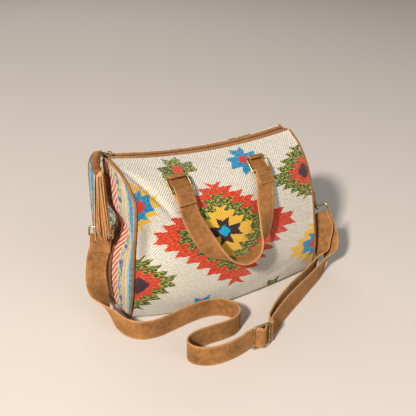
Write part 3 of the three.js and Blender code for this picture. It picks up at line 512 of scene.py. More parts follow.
def puckers(s, t, face):
    """Depth of the small folds: slack rolls, drag lines from the handle tabs, ripples at the piping, and on
    the front a sharp fold and a dent by the left gusset."""
    s, t = np.broadcast_arrays(np.asarray(s, float), np.asarray(t, float))
    away = held((1 - np.abs(s)) * 16) * held((TOP_KNOT - t) / 0.012) * held((t - BASE_KNOT) / 0.03)
    near_end = np.exp(-(1 - np.abs(s)) * 9)
    ripple = 0.5 + 0.5 * np.sin(t * 210 + 2.2 * np.sin(t * 37 + 2 * s) + face)
    drag = bump(t - 0.215, -0.30 * (s + 0.30), 0.010) * bump(s, -0.22, 0.16) * 1.6
    drag += bump(t - 0.205, 0.25 * (s - 0.30), 0.009) * bump(s, 0.18, 0.13)
    low = bump(t - 0.060, 0.045 * np.sin(5 * s + 0.6), 0.011) * bump(s, -0.45, 0.3) * 1.5
    low += bump(t - 0.044, 0.03 * s, 0.010) * bump(s, 0.45, 0.3)
    broad = 0.5 + 0.5 * np.sin(7 * s + 19 * t + 1.5 * np.sin(23 * t))
    depth = 0.0014 * near_end * ripple + 0.0011 * (drag + low) + 0.0009 * broad
    if face < 0:
        fold = bump(t - 0.256, -0.25 * (s + 0.80), 0.009) * bump(s, -0.80, 0.15)
        dent = bump(s, -0.865, 0.055) * bump(t, 0.162, 0.042)
        depth = depth + 0.0052 * fold + 0.0045 * dent
    return depth * away


def slab(outer, inner, uv=None):
    """Skin of a sheet: loops across its outside, then back along its inside, with the same UV on both."""
    both = None if uv is None else np.concatenate([uv, uv[:, ::-1], uv[:, :1]], axis=1)
    return shell(np.concatenate([outer, inner[:, ::-1]], axis=1), both)


# Kilim cloth: a coarse ribbed weave of off-white wool with stepped motifs
# woven in: one wide medallion, small stars above it and cut ones at the rims.
OFF_WHITE = paint(232, 225, 212)
ORANGE_RED = paint(196, 44, 27)
LIGHT_ORANGE = paint(240, 110, 58)
DARK_GREEN = paint(50, 66, 38)
LIME = paint(176, 176, 66)
YELLOW = paint(232, 178, 46)
PLUM = paint(48, 26, 38)
CYAN = paint(0, 172, 210)
BLUE = paint(0, 108, 168)
RED = paint(206, 44, 40)
WEFT = 0.0017
FLOAT = 0.0052
TWILL_SHIFT = -0.33
ARM_FORK = 0.42


def serrated(across, up, half_width, half_height, rows, tooth, fork=0.45):
    """1 inside a stepped diamond: each row is narrower than the one below it and runs out to a barb at its
    far side, tooth longer than at its near side; the last row is forked by a notch, fork of a row deep."""
    level = abs(up) * (rows / half_height)
    row = level.floor()
    edge = (row * (-half_width / rows)) + half_width - (row - level + 1.0) * tooth
    notch = (abs(across) * (-rows / half_width) + 1.0).high(0.0) * fork
    return (abs(across) < edge) * ((level + notch) < rows)


def weave(x, y):
    """Height of the twill: rounded wefts whose floats step a third of a float at each row, so that they
    line up in slanting ribs."""
    row = (y / WEFT).floor()
    over = ((x / FLOAT) + row * TWILL_SHIFT).fract()
    roll = ((y / WEFT).fract() * math.pi).sin()
    return roll * 0.3 + (over * math.pi).sin() * 0.7


def kilim():
    """The patterned cloth. UV x is metres from the middle of the panel, UV y metres up it from its base."""
    stuff = Stuff("kilim_cloth")
    x, y, _, uv = stuff.place("UV")
    _, _, _, at = stuff.place()
    wander = stuff.noise(uv, 45, 2) - 0.5
    gx = ((x + wander * 0.0022) / WEFT).floor() * WEFT
    gy = ((y + wander * 0.0016) / WEFT).floor() * WEFT

    def yarn(along, across, detail=2, rough=0.55):
        """Noise drawn out along the yarn's slant."""
        return stuff.noise(stuff.vector(along, across), 1.0, detail, rough)

    streak = yarn((x + y * 0.6) * 190.0, y * 420.0, rough=0.6)
    fleck = yarn((x + y) * 180.0, (y - x) * 420.0)
    slub = yarn((x + y) * 150.0, (y - x) * 330.0, rough=0.7)
    red = stuff.mix(streak.ramp(0.44, 0.72), ORANGE_RED, LIGHT_ORANGE)
    green = stuff.mix(streak.ramp(0.50, 0.56), DARK_GREEN, LIME)
    gold = stuff.mix(streak.ramp(0.35, 0.75), YELLOW, paint(244, 200, 84))
    deep = stuff.mix(streak.ramp(0.4, 0.8), PLUM, paint(84, 46, 52))
    blue = stuff.mix(streak.ramp(0.45, 0.6), BLUE, CYAN)
    wool = stuff.mix(fleck.ramp(0.28, 0.58), paint(188, 176, 156), OFF_WHITE)
    colour = stuff.mix((slub.ramp(0.50, 0.66)) * 0.5, wool, paint(186, 174, 154))

    def motif(colour, middle, rings, lean=0.0, drift=0.0, bend=0.0, wide=0.0, tall=0.0):
        """Rings of a motif laid over the colour, outermost first: (paint, half width, half height, rows,
        tooth). A ring with no rows is a cross of two forked arms, tooth wide on each side of their line."""
        dx, dy = gx - middle[0], gy - middle[1]
        across, up = dx + dy * drift - dy * dy * bend, dy + dx * lean
        across, up = across - across * across * wide, up + up * up * tall
        for shade, half_width, half_height, rows, tooth in rings:
            if rows:
                inside = serrated(across, up, half_width, half_height, rows, tooth)
            else:
                inside = serrated(across, up, half_width, tooth, 1, tooth * 0.7, ARM_FORK)
                upright = serrated(up, across, half_height, tooth * 1.25, 1, tooth * 0.6, ARM_FORK)
                inside = inside.high(upright)
            colour = stuff.mix(inside, colour, shade)
        return colour

    medallion = [(red, 0.1335, 0.0915, 8, 0.010), (green, 0.092, 0.070, 6, 0.009),
                 (gold, 0.055, 0.047, 4, 0.008), (deep, 0.0325, 0.0235, 0, 0.0100),
                 (CYAN, 0.0105, 0.0100, 4, 0.0)]
    followed = {"lean": 0.12, "drift": 0.113, "bend": 0.86, "wide": 0.81, "tall": 1.1}
    colour = motif(colour, (-0.0268, 0.1488), medallion, **followed)
    for middle, rings in [
        ((-0.079, 0.270), [(green, 0.035, 0.022, 2, 0.005), (green, 0.034, 0.030, 0, 0.0115),
                           (red, 0.011, 0.010, 5, 0.0)]),
        ((0.050, 0.258), [(blue, 0.030, 0.024, 2, 0.005), (blue, 0.032, 0.030, 0, 0.0105),
                          (RED, 0.010, 0.010, 5, 0.0)]),
        ((-0.172, 0.227), [(gold, 0.040, 0.044, 4, 0.008), (blue, 0.024, 0.027, 2, 0.005),
                           (RED, 0.011, 0.011, 5, 0.0)]),
        ((-0.173, 0.081), [(green, 0.060, 0.056, 5, 0.009), (red, 0.037, 0.033, 3, 0.007),
                           (deep, 0.018, 0.017, 7, 0.0)]),
        ((0.165, 0.203), [(green, 0.074, 0.050, 5, 0.009), (red, 0.037, 0.027, 3, 0.007),
                          (deep, 0.015, 0.014, 6, 0.0)]),
        ((0.177, 0.062), [(gold, 0.064, 0.042, 4, 0.009), (blue, 0.034, 0.024, 2, 0.007),
                          (RED, 0.014, 0.011, 5, 0.0)]),
        ((-0.068, 0.008), [(blue, 0.034, 0.030, 0, 0.0115), (RED, 0.010, 0.010, 5, 0.0)]),
        ((0.079, -0.004), [(green, 0.034, 0.030, 0, 0.0115), (red, 0.010, 0.010, 5, 0.0)]),
    ]:
        colour = motif(colour, middle, rings)

    height = weave(x, y)
    # painted shade in the weave's grooves, made weaker in random patches
    groove_shade_lift = stuff.noise(at, 26, 3).ramp(0.35, 0.70) * 0.35
    colour = stuff.shaded(colour, height.ramp(0.15, 0.80).high(groove_shade_lift), (0.46, 0.42, 0.37, 1))
    # painted shade: broad patches darkened a little, standing for shadow near the folds, laid at random
    broad_painted_shade = stuff.noise(at, 9, 3)
    colour = stuff.mix(broad_painted_shade.ramp(0.45, 0.75) * 0.10, colour, paint(196, 180, 156))
    stuff.look(Base_Color=colour, Roughness=0.94, Normal=stuff.bump(height + slub * 0.8, 0.0012, 0.9),
               Sheen_Weight=0.15, Specular_IOR_Level=0.12)
    return stuff


PANEL_ROWS = 141
kilim_cloth = kilim()
EDGE = (2 * PIPING_RADIUS - 0.0008 + GAP) / HALF_LENGTH
for name, face in FRONT_AND_BACK:
    s, t = np.meshgrid(np.linspace(-1 + EDGE, 1 - EDGE, 181), np.linspace(0, TOP_KNOT, PANEL_ROWS))
    surface, outward = skin(s, t, face), skin_normal(s, t, face)
    steps = np.linalg.norm(np.diff(surface, axis=0), axis=-1)
    climb = np.concatenate([0 * steps[:1], np.cumsum(steps, axis=0)])
    seam_row = int(round(BASE_KNOT / TOP_KNOT * (PANEL_ROWS - 1)))
    cloth_uv = np.stack([-face * HALF_LENGTH * s, climb - climb[seam_row]], -1)
    surface = surface - outward * puckers(s, t, face)[..., None]
    cloth = slab(surface, surface - outward * CLOTH, cloth_uv)
    piece(f"kilim_{name}", "bag", [cloth], kilim_cloth, node=f"{name}_panel")


# Base: a plain piece of the same cloth between the turned-under edges, with a
# stiff board lying on it inside the bag.
BOARD = 0.002
UNDER_EDGE = 0.0006


def plain_weave(name, first, second):
    """Unpatterned cloth of the same ribbed weave."""
    stuff = Stuff(name)
    x, y, _, at = stuff.place()
    height = weave(x, y)
    colour = stuff.mix(stuff.noise(at, 260, 2).ramp(0.32, 0.6), first, second)
    colour = stuff.shaded(colour, height.ramp(0.05, 0.5), (0.5, 0.47, 0.43, 1))
    stuff.look(Base_Color=colour, Roughness=0.94, Normal=stuff.bump(height, 0.001, 0.7),
               Specular_IOR_Level=0.12)
    return stuff


def floor_sheet(low, high, shrink, columns, rows):
    """Skin of a flat sheet between the lower edges of front and back."""
    s = np.linspace(-1 + EDGE, 1 - EDGE, columns) * (1 - shrink)
    front, back = skin(s, 0 * s, -1), skin(s, 0 * s, 1)
    v = np.linspace(0, 1, rows)[:, None]
    y = (front[:, 1] + UNDER_EDGE) * (1 - v) + (back[:, 1] - UNDER_EDGE) * v
    x = front[:, 0] + 0 * v
    return slab(np.stack([x, y, 0 * y + low], -1), np.stack([x, y, 0 * y + high], -1))


base_cloth = plain_weave("base_cloth", paint(178, 166, 146), OFF_WHITE)
base_sheet = floor_sheet(0.0, CLOTH, 0.0, 90, 40)
piece("base_cloth_panel", "bag", [base_sheet], base_cloth, node="base_panel")
board_stuff = Stuff("board_fibre")
_, _, _, board_at = board_stuff.place()
board_fibre = board_stuff.noise(board_at, 420, 4, 0.7)
board_stuff.look(Base_Color=board_stuff.mix(board_fibre.ramp(0.3, 0.7), paint(48, 42, 36), paint(84, 74, 62)),
                 Roughness=board_fibre * 0.2 + 0.7, Normal=board_stuff.bump(board_fibre, 0.0004, 0.5))
board_sheet = floor_sheet(CLOTH + GAP, CLOTH + GAP + BOARD, 0.03, 60, 24)
piece("stiff_board", "bag", [board_sheet], board_stuff, node="base_board")

# Gussets: leaf-shaped ends of striped cloth, each sewn in with piping. The
# left one is pushed well in at mid height, the right one stands out a little.
GUSSET_EDGE = 2 * PIPING_RADIUS - 0.0008 + GAP
GUSSET_LOW = 2 * PIPING_RADIUS + 0.0008


def edge_point(side, t, face, inward):
    """Point of the end section at t, moved inward within the plane of that end."""
    t = np.asarray(t, float)
    p = skin(side, t, face)
    along = skin(side, np.minimum(TOP_KNOT, t + 0.001), face) - skin(side, np.maximum(0, t - 0.001), face)
    out = unit(np.stack([0 * t, face * along[..., 2], -face * along[..., 1]], -1))
    return p - out * inward


def gusset_skin(side, depth, u, t):
    """Point of a gusset: u across it from front to back, t up it, depth inwards from its outside."""
    u, t = np.broadcast_arrays(np.asarray(u, float), np.asarray(t, float))
    front, back = edge_point(side, t, -1, GUSSET_EDGE), edge_point(side, t, 1, GUSSET_EDGE)
    point = front + (back - front) * u[..., None]
    z = np.maximum(point[..., 2], GUSSET_LOW)
    pushed_in = 0.022 * bump(z, 0.148, 0.030) - 0.004 * bump(z, 0.050, 0.040)
    bulge = pushed_in if side < 0 else -0.012 * bump(z, 0.105, 0.060)
    low = held(z / 0.030) * held((TOP_KNOT - t) / 0.050)
    inward = depth + bulge * (1 - (2 * u - 1) ** 2) ** 1.3 * low
    return np.stack([point[..., 0] - side * inward, point[..., 1], z], -1)


def gusset_at(side, y, t, out):
    """Point of a gusset at depth y of the bag, lifted out from its outside."""
    front, back = edge_point(side, t, -1, GUSSET_EDGE), edge_point(side, t, 1, GUSSET_EDGE)
    share = (y - front[..., 1]) / (back[..., 1] - front[..., 1])
    return gusset_skin(side, -np.asarray(out, float), share, t)


def striped():
    """The gusset's cloth: upright stripes, mirrored about the middle, from which UV x counts in metres."""
    stuff = Stuff("striped_cloth")
    x, y, _, uv = stuff.place("UV")
    wander = stuff.noise(uv, 40, 2) - 0.5
    out = abs(x + wander * 0.0012)
    streak = stuff.noise(stuff.vector(x * 420.0, y * 130.0), 1.0, 2, 0.6)
    patch = stuff.noise(stuff.vector(x * 60.0, y * 70.0), 1.0, 2)

    def streaked(start, end, first, second):
        return stuff.mix(streak.ramp(start, end), paint(*first), paint(*second))

    orange = streaked(0.4, 0.6, (198, 66, 20), (232, 104, 36))
    zigzag = ((y / 0.0125) - out * 104.0 + wander * 0.3).fract()
    slant = stuff.mix(zigzag > 0.40, paint(228, 218, 202), orange)
    leaf = streaked(0.44, 0.56, (84, 132, 104), (222, 212, 170))
    mottled = stuff.mix(patch.ramp(0.53, 0.56), leaf, streaked(0.45, 0.55, (30, 64, 128), (40, 132, 182)))
    pale = streaked(0.3, 0.7, (196, 176, 160), (232, 222, 208))
    honey = streaked(0.35, 0.7, (202, 156, 66), (232, 198, 120))
    sky_blue = streaked(0.4, 0.6, (30, 104, 160), (92, 168, 200))
    edge_blue = streaked(0.4, 0.6, (70, 160, 190), (168, 210, 214))
    colour = slant
    for start, shade in [(0.026, pale), (0.029, mottled), (0.044, pale), (0.048, honey), (0.054, pale),
                         (0.062, honey), (0.0655, edge_blue), (0.070, sky_blue), (0.081, edge_blue)]:
        colour = stuff.mix(out > start, colour, shade)
    height = weave(y, x)
    colour = stuff.shaded(colour, height.ramp(0.10, 0.70), (0.40, 0.37, 0.33, 1), (0.80, 0.78, 0.75, 1))
    stuff.look(Base_Color=colour, Roughness=0.94, Normal=stuff.bump(height, 0.0011, 0.75), Sheen_Weight=0.15,
               Specular_IOR_Level=0.12)
    return stuff


striped_cloth = striped()
for name, side in LEFT_AND_RIGHT:
    u, t = np.meshgrid(np.linspace(0, 1, 91), np.linspace(0, TOP_KNOT, 121))
    surface = gusset_skin(side, 0.0, u, t)
    climb = walked(surface[:, 45])[:, None] + 0 * u
    width = (surface[:, -1:, 1] - surface[:, :1, 1])
    stripe_uv = np.stack([(u - 0.5) * (0.55 * width + 0.45 * width.max()), climb], -1)
    near_edge = np.minimum(u, 1 - u)
    pinch = 0.0010 * np.exp(-near_edge * 14) * (0.5 + 0.5 * np.sin(t * 230 + 3 * np.sin(t * 41)))
    surface[..., 0] -= side * pinch * held(near_edge * 40)
    cloth = slab(surface, gusset_skin(side, CLOTH, u, t), stripe_uv)
    piece(f"striped_gusset_{name}", "bag", [cloth], striped_cloth, node=f"gusset_{name}")


# Piping: a cord covered in tan suede, sewn all round each gusset's edge.
def section_ring(sides):
    """Angles of a round section's points."""
    return 2 * np.pi * np.arange(sides) / sides


def carried_side(points, closed):
    """A side direction carried along a line of points without twist, and the normal square to both."""
    ahead = np.roll(points, -1, 0) - np.roll(points, 1, 0)
    if not closed:
        ahead[0], ahead[-1] = points[1] - points[0], points[-1] - points[-2]
    along = unit(ahead)
    side = np.array([0.0, 0, 1]) if abs(along[0, 2]) < 0.8 else np.array([0.0, 1, 0])
    sides = []
    for direction in along:
        side = square_to(side, direction)
        sides.append(side)
    return np.array(sides), np.cross(along, sides)


def wire(points, radius, closed=False, sides=14, flat=1.0):
    """Skin of a round wire bent along the points; flat below 1 flattens it square to its side."""
    side, normal = carried_side(points, closed)
    angle = section_ring(sides)
    radius = np.broadcast_to(radius, len(points))[:, None]
    across, out = (radius * np.cos(angle))[..., None], (radius * np.sin(angle))[..., None]
    return shell(points[:, None] + side[:, None] * across + normal[:, None] * out * flat, ring=closed)


def smooth_line(points, spacing):
    """The points' smooth curve, sampled about spacing apart."""
    points = np.asarray(points, float)
    any_side = points * 0 + (0.31, 0.47, 0.83)
    return ribbon(np.concatenate([points, any_side], axis=1), spacing)[0]


PIPING_KNOTS = np.array([325, 312, 298, 285, 272, 260, 248, 236, 222, 205, 185, 165,
                         145, 122, 98, 74, 52, 38, 30, 25, 20, 15, 8, 0]) / 1000
for name, side in LEFT_AND_RIGHT:
    front_edge = edge_point(side, PIPING_KNOTS, -1, PIPING_INSET)
    back_edge = edge_point(side, PIPING_KNOTS[::-1], 1, PIPING_INSET)
    round_edge = np.concatenate([front_edge, back_edge])
    round_edge[:, 0] -= side * PIPING_INSET
    round_edge[:, 2] = np.maximum(round_edge[:, 2], PIPING_RADIUS + 0.00005)
    line = smooth_line(round_edge, 0.0022)
    run = walked(line)
    radius = PIPING_RADIUS * (1 + 0.035 * np.sin(run * 260) + 0.02 * np.sin(run * 617 + 1))
    piece(f"covered_cord_{name}", "bag", [wire(line, radius, sides=12)], tan_suede, node=f"piping_{name}")


# Zip: two suede facings stand either side of a sunken brown tape with its
# coil, topstitched along both edges.
FACING_WIDTH = 0.0094
FACING_EDGE = 0.0128
FACING_THICKNESS = 0.0022
FACING_SEAM = 0.0022
TAPE_HALF = 0.0085
TAPE = 0.001
TAPE_TOP = -FACING_THICKNESS - 0.0003
ZIP_ENDS = (-0.171, 0.178)
COIL_ENDS = (ZIP_ENDS[0] + 0.002, ZIP_ENDS[1] - 0.002)
COIL_PITCH = 0.0015
SUNK = 0.00002
STITCH_PITCH = 0.0036


def zip_line(count):
    """Stations along the sagging top: point, side (towards the back), normal and distance."""
    x = np.linspace(*ZIP_ENDS, count)
    point = np.stack([x, 0 * x, top_at(x)], -1)
    normal = unit(np.stack([TOP_CENTRE_X - x, 0 * x, TOP_CENTRE_Z - point[:, 2]], -1))
    return point, np.tile([0.0, 1, 0], (count, 1)), normal, walked(point)


def thread(name, colour, dark):
    """Waxed sewing thread with its twist."""
    stuff = Stuff(name)
    _, _, _, at = stuff.place()
    twist = stuff.noise(at, 1800, 2)
    stuff.look(Base_Color=stuff.mix(twist.ramp(0.35, 0.65), dark, colour), Roughness=0.62,
               Normal=stuff.bump(twist, 0.0003, 0.5), Sheen_Weight=0.2)
    return stuff


def stitches(points, along, up, length=0.0027, radius=0.00035):
    """One short sunk-ended stitch at each point: loops of six, thin at both ends, thick in the middle."""
    a = (np.array([-0.5, -0.38, -0.15, 0.15, 0.38, 0.5]) * length)[:, None, None]
    r = (np.array([0.30, 0.85, 1.0, 1.0, 0.85, 0.30]) * radius)[:, None]
    sink = (np.array([-0.9, -0.25, 0, 0, -0.25, -0.9]) * radius)[:, None, None]
    angle = section_ring(6)
    side = np.cross(along, up)[:, None, None]
    along, up = along[:, None, None], up[:, None, None]
    offset = (along * a + up * sink + side * (r * np.cos(angle))[..., None]
              + up * (r * np.sin(angle))[..., None])
    return shell(points[:, None, None] + offset)


def read_off(at, run, rows):
    """Points or directions that are given at the distances run, at other distances."""
    return np.stack([np.interp(at, run, rows[:, k]) for k in range(3)], -1)


def band_stitches(stations, across, out, start, end):
    """Stitches along a band from start to end, across from its middle line and out from its middle."""
    point, side, normal, run = stations
    at = np.arange(start, end, STITCH_PITCH)
    ahead = unit(np.gradient(point, run, axis=0))
    middle, over, outward, along = (read_off(at, run, rows) for rows in (point, side, normal, ahead))
    over, outward = unit(over), unit(outward)
    return stitches(middle + over * across + outward * out, unit(along), outward * np.sign(out))


tan_thread = thread("tan_thread", paint(212, 160, 104), paint(150, 96, 50))


def sewn(name, body, rows):
    """The stitches of one piece, in tan thread."""
    return piece(name, body, rows, tan_thread, sharp=None)


for name, face in FRONT_AND_BACK:
    line = zip_line(200)
    near, far = FACING_EDGE - FACING_WIDTH, FACING_EDGE
    profile = np.array([
        (near, -0.0004), (near, -FACING_THICKNESS), (far, -FACING_THICKNESS), (far, -0.0004),
        (far - 0.0004, -0.0001), (far - 0.0011, 0.0001), (far - FACING_SEAM, -0.0002), (far - 0.0034, 0.0),
        ((near + far) / 2, 0.0001), (near + 0.0034, 0.0), (near + FACING_SEAM, -0.0002),
        (near + 0.0010, 0.0)])
    sway = 0.00025 * np.sin(line[3] * 150 + face)[:, None] + 0.00015 * np.sin(line[3] * 431)[:, None]
    binding = shell(swept(line, face * profile[:, 0] + sway, profile[:, 1] + 0 * sway))
    piece(f"zip_binding_{name}", "bag", [binding], tan_suede, node=f"zip_facing_{name}")
    sewn(f"zip_binding_stitches_{name}", "bag", [
        band_stitches(line, face * across, SUNK, 0.003, line[3][-1] - 0.003)
        for across in (near + FACING_SEAM, far - FACING_SEAM)])

tape_stuff = Stuff("zip_tape_weave")
tape_x, tape_y, _, _ = tape_stuff.place()
tape_rib = ((tape_x * 1400.0).sin() * 0.5 + 0.5) * 0.6 + ((tape_y * 2400.0).sin() * 0.5 + 0.5) * 0.4
# painted shade: the tape's colour goes dark in the troughs of its ribs
tape_stuff.look(Base_Color=tape_stuff.mix(tape_rib, paint(46, 28, 18), paint(96, 64, 40)), Roughness=0.85,
                Normal=tape_stuff.bump(tape_rib, 0.0004, 0.6))
coil_stuff = Stuff("zip_coil")
_, _, _, coil_at = coil_stuff.place()
coil_rub = coil_stuff.noise(coil_at, 500, 2)
coil_tone = coil_stuff.mix(coil_rub.ramp(0.3, 0.7), paint(58, 36, 22), paint(112, 78, 50))
coil_stuff.look(Base_Color=coil_tone, Roughness=coil_rub * 0.25 + 0.28)
for name, face in FRONT_AND_BACK:
    line = zip_line(160)
    profile = np.array([(0.0003, TAPE_TOP - TAPE), (0.0003, TAPE_TOP), (0.0012, TAPE_TOP), (0.004, TAPE_TOP),
                        (TAPE_HALF, TAPE_TOP), (TAPE_HALF, TAPE_TOP - TAPE), (0.004, TAPE_TOP - TAPE),
                        (0.0012, TAPE_TOP - TAPE)])
    tape = shell(swept(line, face * profile[:, 0], profile[:, 1]))
    piece(f"woven_tape_{name}", "bag", [tape], tape_stuff, node=f"zip_tape_{name}")
    at = np.arange(*COIL_ENDS, COIL_PITCH) + (COIL_PITCH / 2 if face > 0 else 0)
    middle = np.stack([at, 0 * at + face * 0.00125, top_at(at) - 0.0017], -1)
    over = unit(np.stack([0.12 + 0 * at, face + 0 * at, 0 * at], -1))
    up = square_to(np.tile([0.0, 0, 1], (len(at), 1)), over)
    coil = stitches(middle, over, up, length=0.0036, radius=0.00062)
    piece(f"coil_{name}", "bag", [coil], coil_stuff, sharp=None)


# Hardware: cast and bent brass, darkened in random patches of tarnish and brighter between them.
brass = Stuff("antique_brass")
_, _, _, brass_at = brass.place()
tarnish = brass.noise(brass_at, 160, 4, 0.6)
scratch = brass.noise(brass_at, 900, 2)
brass_tone = (tarnish * 0.75 + scratch * 0.25).ramp(0.36, 0.62)
brass.look(Base_Color=brass.mix(brass_tone, paint(112, 92, 52), paint(206, 186, 132)), Metallic=1.0,
           Roughness=tarnish * 0.3 + 0.2, Normal=brass.bump(scratch, 0.0002, 0.2))


def cast(name, body, shells, node):
    """A piece of antique brass."""
    return piece(name, body, shells, brass, node=node)


def rounded_loop(width, height, corner, steps=8):
    """Outline of a rectangle with round corners, about its middle."""
    w, h = width / 2 - corner, height / 2 - corner
    angle = np.pi / 2 * np.linspace(0, 1, steps)
    corners = []
    for k, (x, y) in enumerate([(w, h), (-w, h), (-w, -h), (w, -h)]):
        turn = angle + k * np.pi / 2
        corners.append(np.stack([x + corner * np.cos(turn), y + corner * np.sin(turn)], -1))
    return np.concatenate(corners)


def placed(points, origin, *ways):
    """Points given as (a, b, ...) laid out from an origin along the given ways."""
    points = np.asarray(points, float)
    steps = (points[:, k:k + 1] * np.asarray(way, float) for k, way in enumerate(ways))
    return np.asarray(origin, float) + sum(steps)


# Zip slider with a loop on its back, the puller link through the loop, and
# the tassel: a rolled suede head over a fringe of cut strips.
ZIP_SLIDER_X = -0.168
SLIDER_WIRE = 0.0008
zip_tilt = math.atan2(TOP_CENTRE_X - ZIP_SLIDER_X, TOP_CENTRE_Z - top_at(ZIP_SLIDER_X))


def on_zip(points):
    """Points of the slider, made flat at the origin, set on the zip's slope at its left end."""
    c, s = math.cos(zip_tilt), math.sin(zip_tilt)
    x, y, z = np.moveaxis(np.asarray(points, float), -1, 0)
    return np.stack([ZIP_SLIDER_X + x * c + z * s, y, top_at(ZIP_SLIDER_X) - x * s + z * c], -1)


def slider_plate():
    """Shield-shaped plate: one outline, wide at the mouth, narrow at the tail, drawn in at top and foot."""
    angle = section_ring(40)
    x, y = 0.006 * np.cos(angle), 0.0042 * np.sin(angle) * (1 - 0.22 * np.cos(angle))
    x, y = x * (1 + 0.12 * np.sin(2 * angle) ** 2), y * (1 + 0.18 * np.sin(2 * angle) ** 2)
    x, y = np.clip(x, -0.006, 0.006), np.clip(y, -0.0042, 0.0042)
    levels = [(0.0003, 0.90), (0.0007, 1.0), (0.0017, 1.0), (0.0022, 0.93), (0.0024, 0.72), (0.0024, 0.2)]
    return np.stack([np.stack([x * k, y * k, 0 * x + z], -1) for z, k in levels])


loop_points = smooth_line([(-0.004, 0, 0.001), (-0.004, 0, 0.0044), (-0.0028, 0, 0.006), (0, 0, 0.0066),
                           (0.0028, 0, 0.006), (0.004, 0, 0.0044), (0.004, 0, 0.001)], 0.0005)
loop_grid = on_zip(wire(loop_points, SLIDER_WIRE)[0])
cast("zip_slider_cast", "zip_slider", [shell(on_zip(slider_plate())), shell(loop_grid)], "zip_slider")
angle = section_ring(48)
link = np.stack([-0.0075 + 0.0065 * np.cos(angle), 0.0032 * np.sin(angle),
                 0.0040 - 0.0002 * np.cos(angle)], -1)
link_grid = on_zip(wire(link, SLIDER_WIRE, closed=True)[0])
cast("puller_link", "zip_puller", [shell(link_grid, ring=True)], "zip_puller")

HEAD_SIDES = 48
head_line = smooth_line([(-0.1808, -0.0015, 0.2803), (-0.1880, -0.0050, 0.2775), (-0.1940, -0.0100, 0.2690),
                         (-0.1958, -0.0140, 0.2600), (-0.1945, -0.0168, 0.2525)], 0.0007)
head_share = np.linspace(0, 1, len(head_line))
head_radius = np.interp(head_share, [0, 0.10, 0.22, 0.42, 0.75, 0.97, 1],
                        [0.0026, 0.0036, 0.0058, 0.0077, 0.0080, 0.0078, 0.0066])
head_grid = wire(head_line, head_radius, sides=HEAD_SIDES, flat=0.72)[0]
turn = np.arange(HEAD_SIDES) / HEAD_SIDES
ridge = 0.0007 * np.exp(-((((head_share[:, None] * 2.6 - turn[None]) % 1) - 0.5) / 0.07) ** 2)
head_grid = head_grid + unit(head_grid - head_line[:, None]) * ridge[..., None]
tassel_head = piece("rolled_head", "zip_puller", [shell(head_grid)], tan_suede, node="tassel_head")
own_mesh(tassel_head)

FRINGE_TOP = np.array([-0.193, -0.0175, 0.2533])
STRIPS = 18
STRIP_LENGTH = 0.121
STRIP_WIDE = 0.0050
STRIP_THICK = 0.0013
fringe_suede = suede("fringe_suede", (164, 102, 54), (96, 54, 26), edge_width=STRIP_WIDE, pale_edge_share=0.75)
chance = np.random.default_rng(7)
strips = []
for k in range(STRIPS):
    about = 2 * math.pi * k / STRIPS * 5.0 + 0.3
    reach = 0.0040 + 0.0050 * ((k * 7) % STRIPS) / (STRIPS - 1)
    out = np.array([math.cos(about), 0.75 * math.sin(about), 0])
    across = np.array([-math.sin(about), math.cos(about), 0])
    length = STRIP_LENGTH - 0.022 * chance.random()
    fall = np.linspace(0, 1, 40)[:, None]
    spread = reach * (0.6 + 0.75 * fall ** 0.6) + 0.0010 * fall
    sway = 0.0022 * np.sin(3.4 * fall * (1 + chance.random()) + 6 * chance.random()) * fall
    point = FRINGE_TOP + out * spread + across * sway + np.array([0, 0, 1]) * (0.002 - length * fall)
    point = point - np.array([0.002, 0, 0]) * fall ** 2
    twist = 0.9 * np.sin(2.6 * fall + 6 * chance.random())
    along = unit(np.gradient(point, axis=0))
    side = square_to(unit(across + out * twist), along)
    stations = (point, side, np.cross(along, side), walked(point))
    narrow = np.clip((1.004 - fall) * 24, 0.35, 1)
    strips.append(band_shell(stations, STRIP_WIDE, STRIP_THICK, 5, swell=narrow))
cap_line = np.array([FRINGE_TOP + (0, 0, z) for z in (0.0040, 0.0015, -0.0020, -0.0045)])
strips.append(wire(cap_line, np.array([0.0052, 0.0064, 0.0064, 0.0056]), sides=24))
fringe = piece("cut_fringe", "zip_puller", strips, fringe_suede, node="tassel_fringe")
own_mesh(fringe)


# Gusset strips: bands of the tan suede down the middle of each gusset, topstitched, painted darker for the
# shade of the gusset's fold.
STRIP_WIDTH = 0.018
STRIP_THICKNESS = 0.0018
STRIP_GAP = 0.0008
STRIP_FACE = STRIP_GAP + STRIP_THICKNESS
STRIP_SEAM = 0.78
# painted shade: a darker copy of the tan suede, standing for the shade the strips lie in
dark_suede = suede("dark_suede", (116, 64, 34), (70, 36, 18))
for name, side in LEFT_AND_RIGHT:
    t = np.linspace(0.0325, 0.30875, 120)[:, None]
    half = np.minimum(STRIP_WIDTH / 2, 0.004 + 0.2 * (TOP_KNOT - t))
    across = np.array([-1, -0.97, -0.9, -STRIP_SEAM, -0.5, 0, 0.5, STRIP_SEAM, 0.9, 0.97, 1])[None]
    lift = np.array([-5, -1, 0, -3, 0, 1, 0, -3, 0, -1, -5])[None] * 1e-4
    outer = gusset_at(side, across * half, t + 0 * across, STRIP_FACE + lift + 0 * t)
    inner = gusset_at(side, across * half, t + 0 * across, STRIP_GAP + 0 * across * t)
    piece(f"gusset_band_{name}", "bag", [slab(outer, inner)], dark_suede, node=f"gusset_strip_{name}")
    rows = []
    for edge in (-STRIP_SEAM, STRIP_SEAM):
        line = gusset_at(side, edge * half[:, 0], t[:, 0], STRIP_FACE - 0.0001)
        over = gusset_at(side, edge * half[:, 0] + 0.001, t[:, 0], STRIP_FACE) - line
        along = unit(np.gradient(line, axis=0))
        over = square_to(unit(over), along)
        normal = np.cross(along, over)
        normal = normal * np.sign(normal[:, :1] * side)
        run = walked(line)
        rows.append(band_stitches((line, over, normal, run), 0.0, 0.00001, 0.002, run[-1] - 0.002))
    sewn(f"gusset_band_stitches_{name}", "bag", rows)


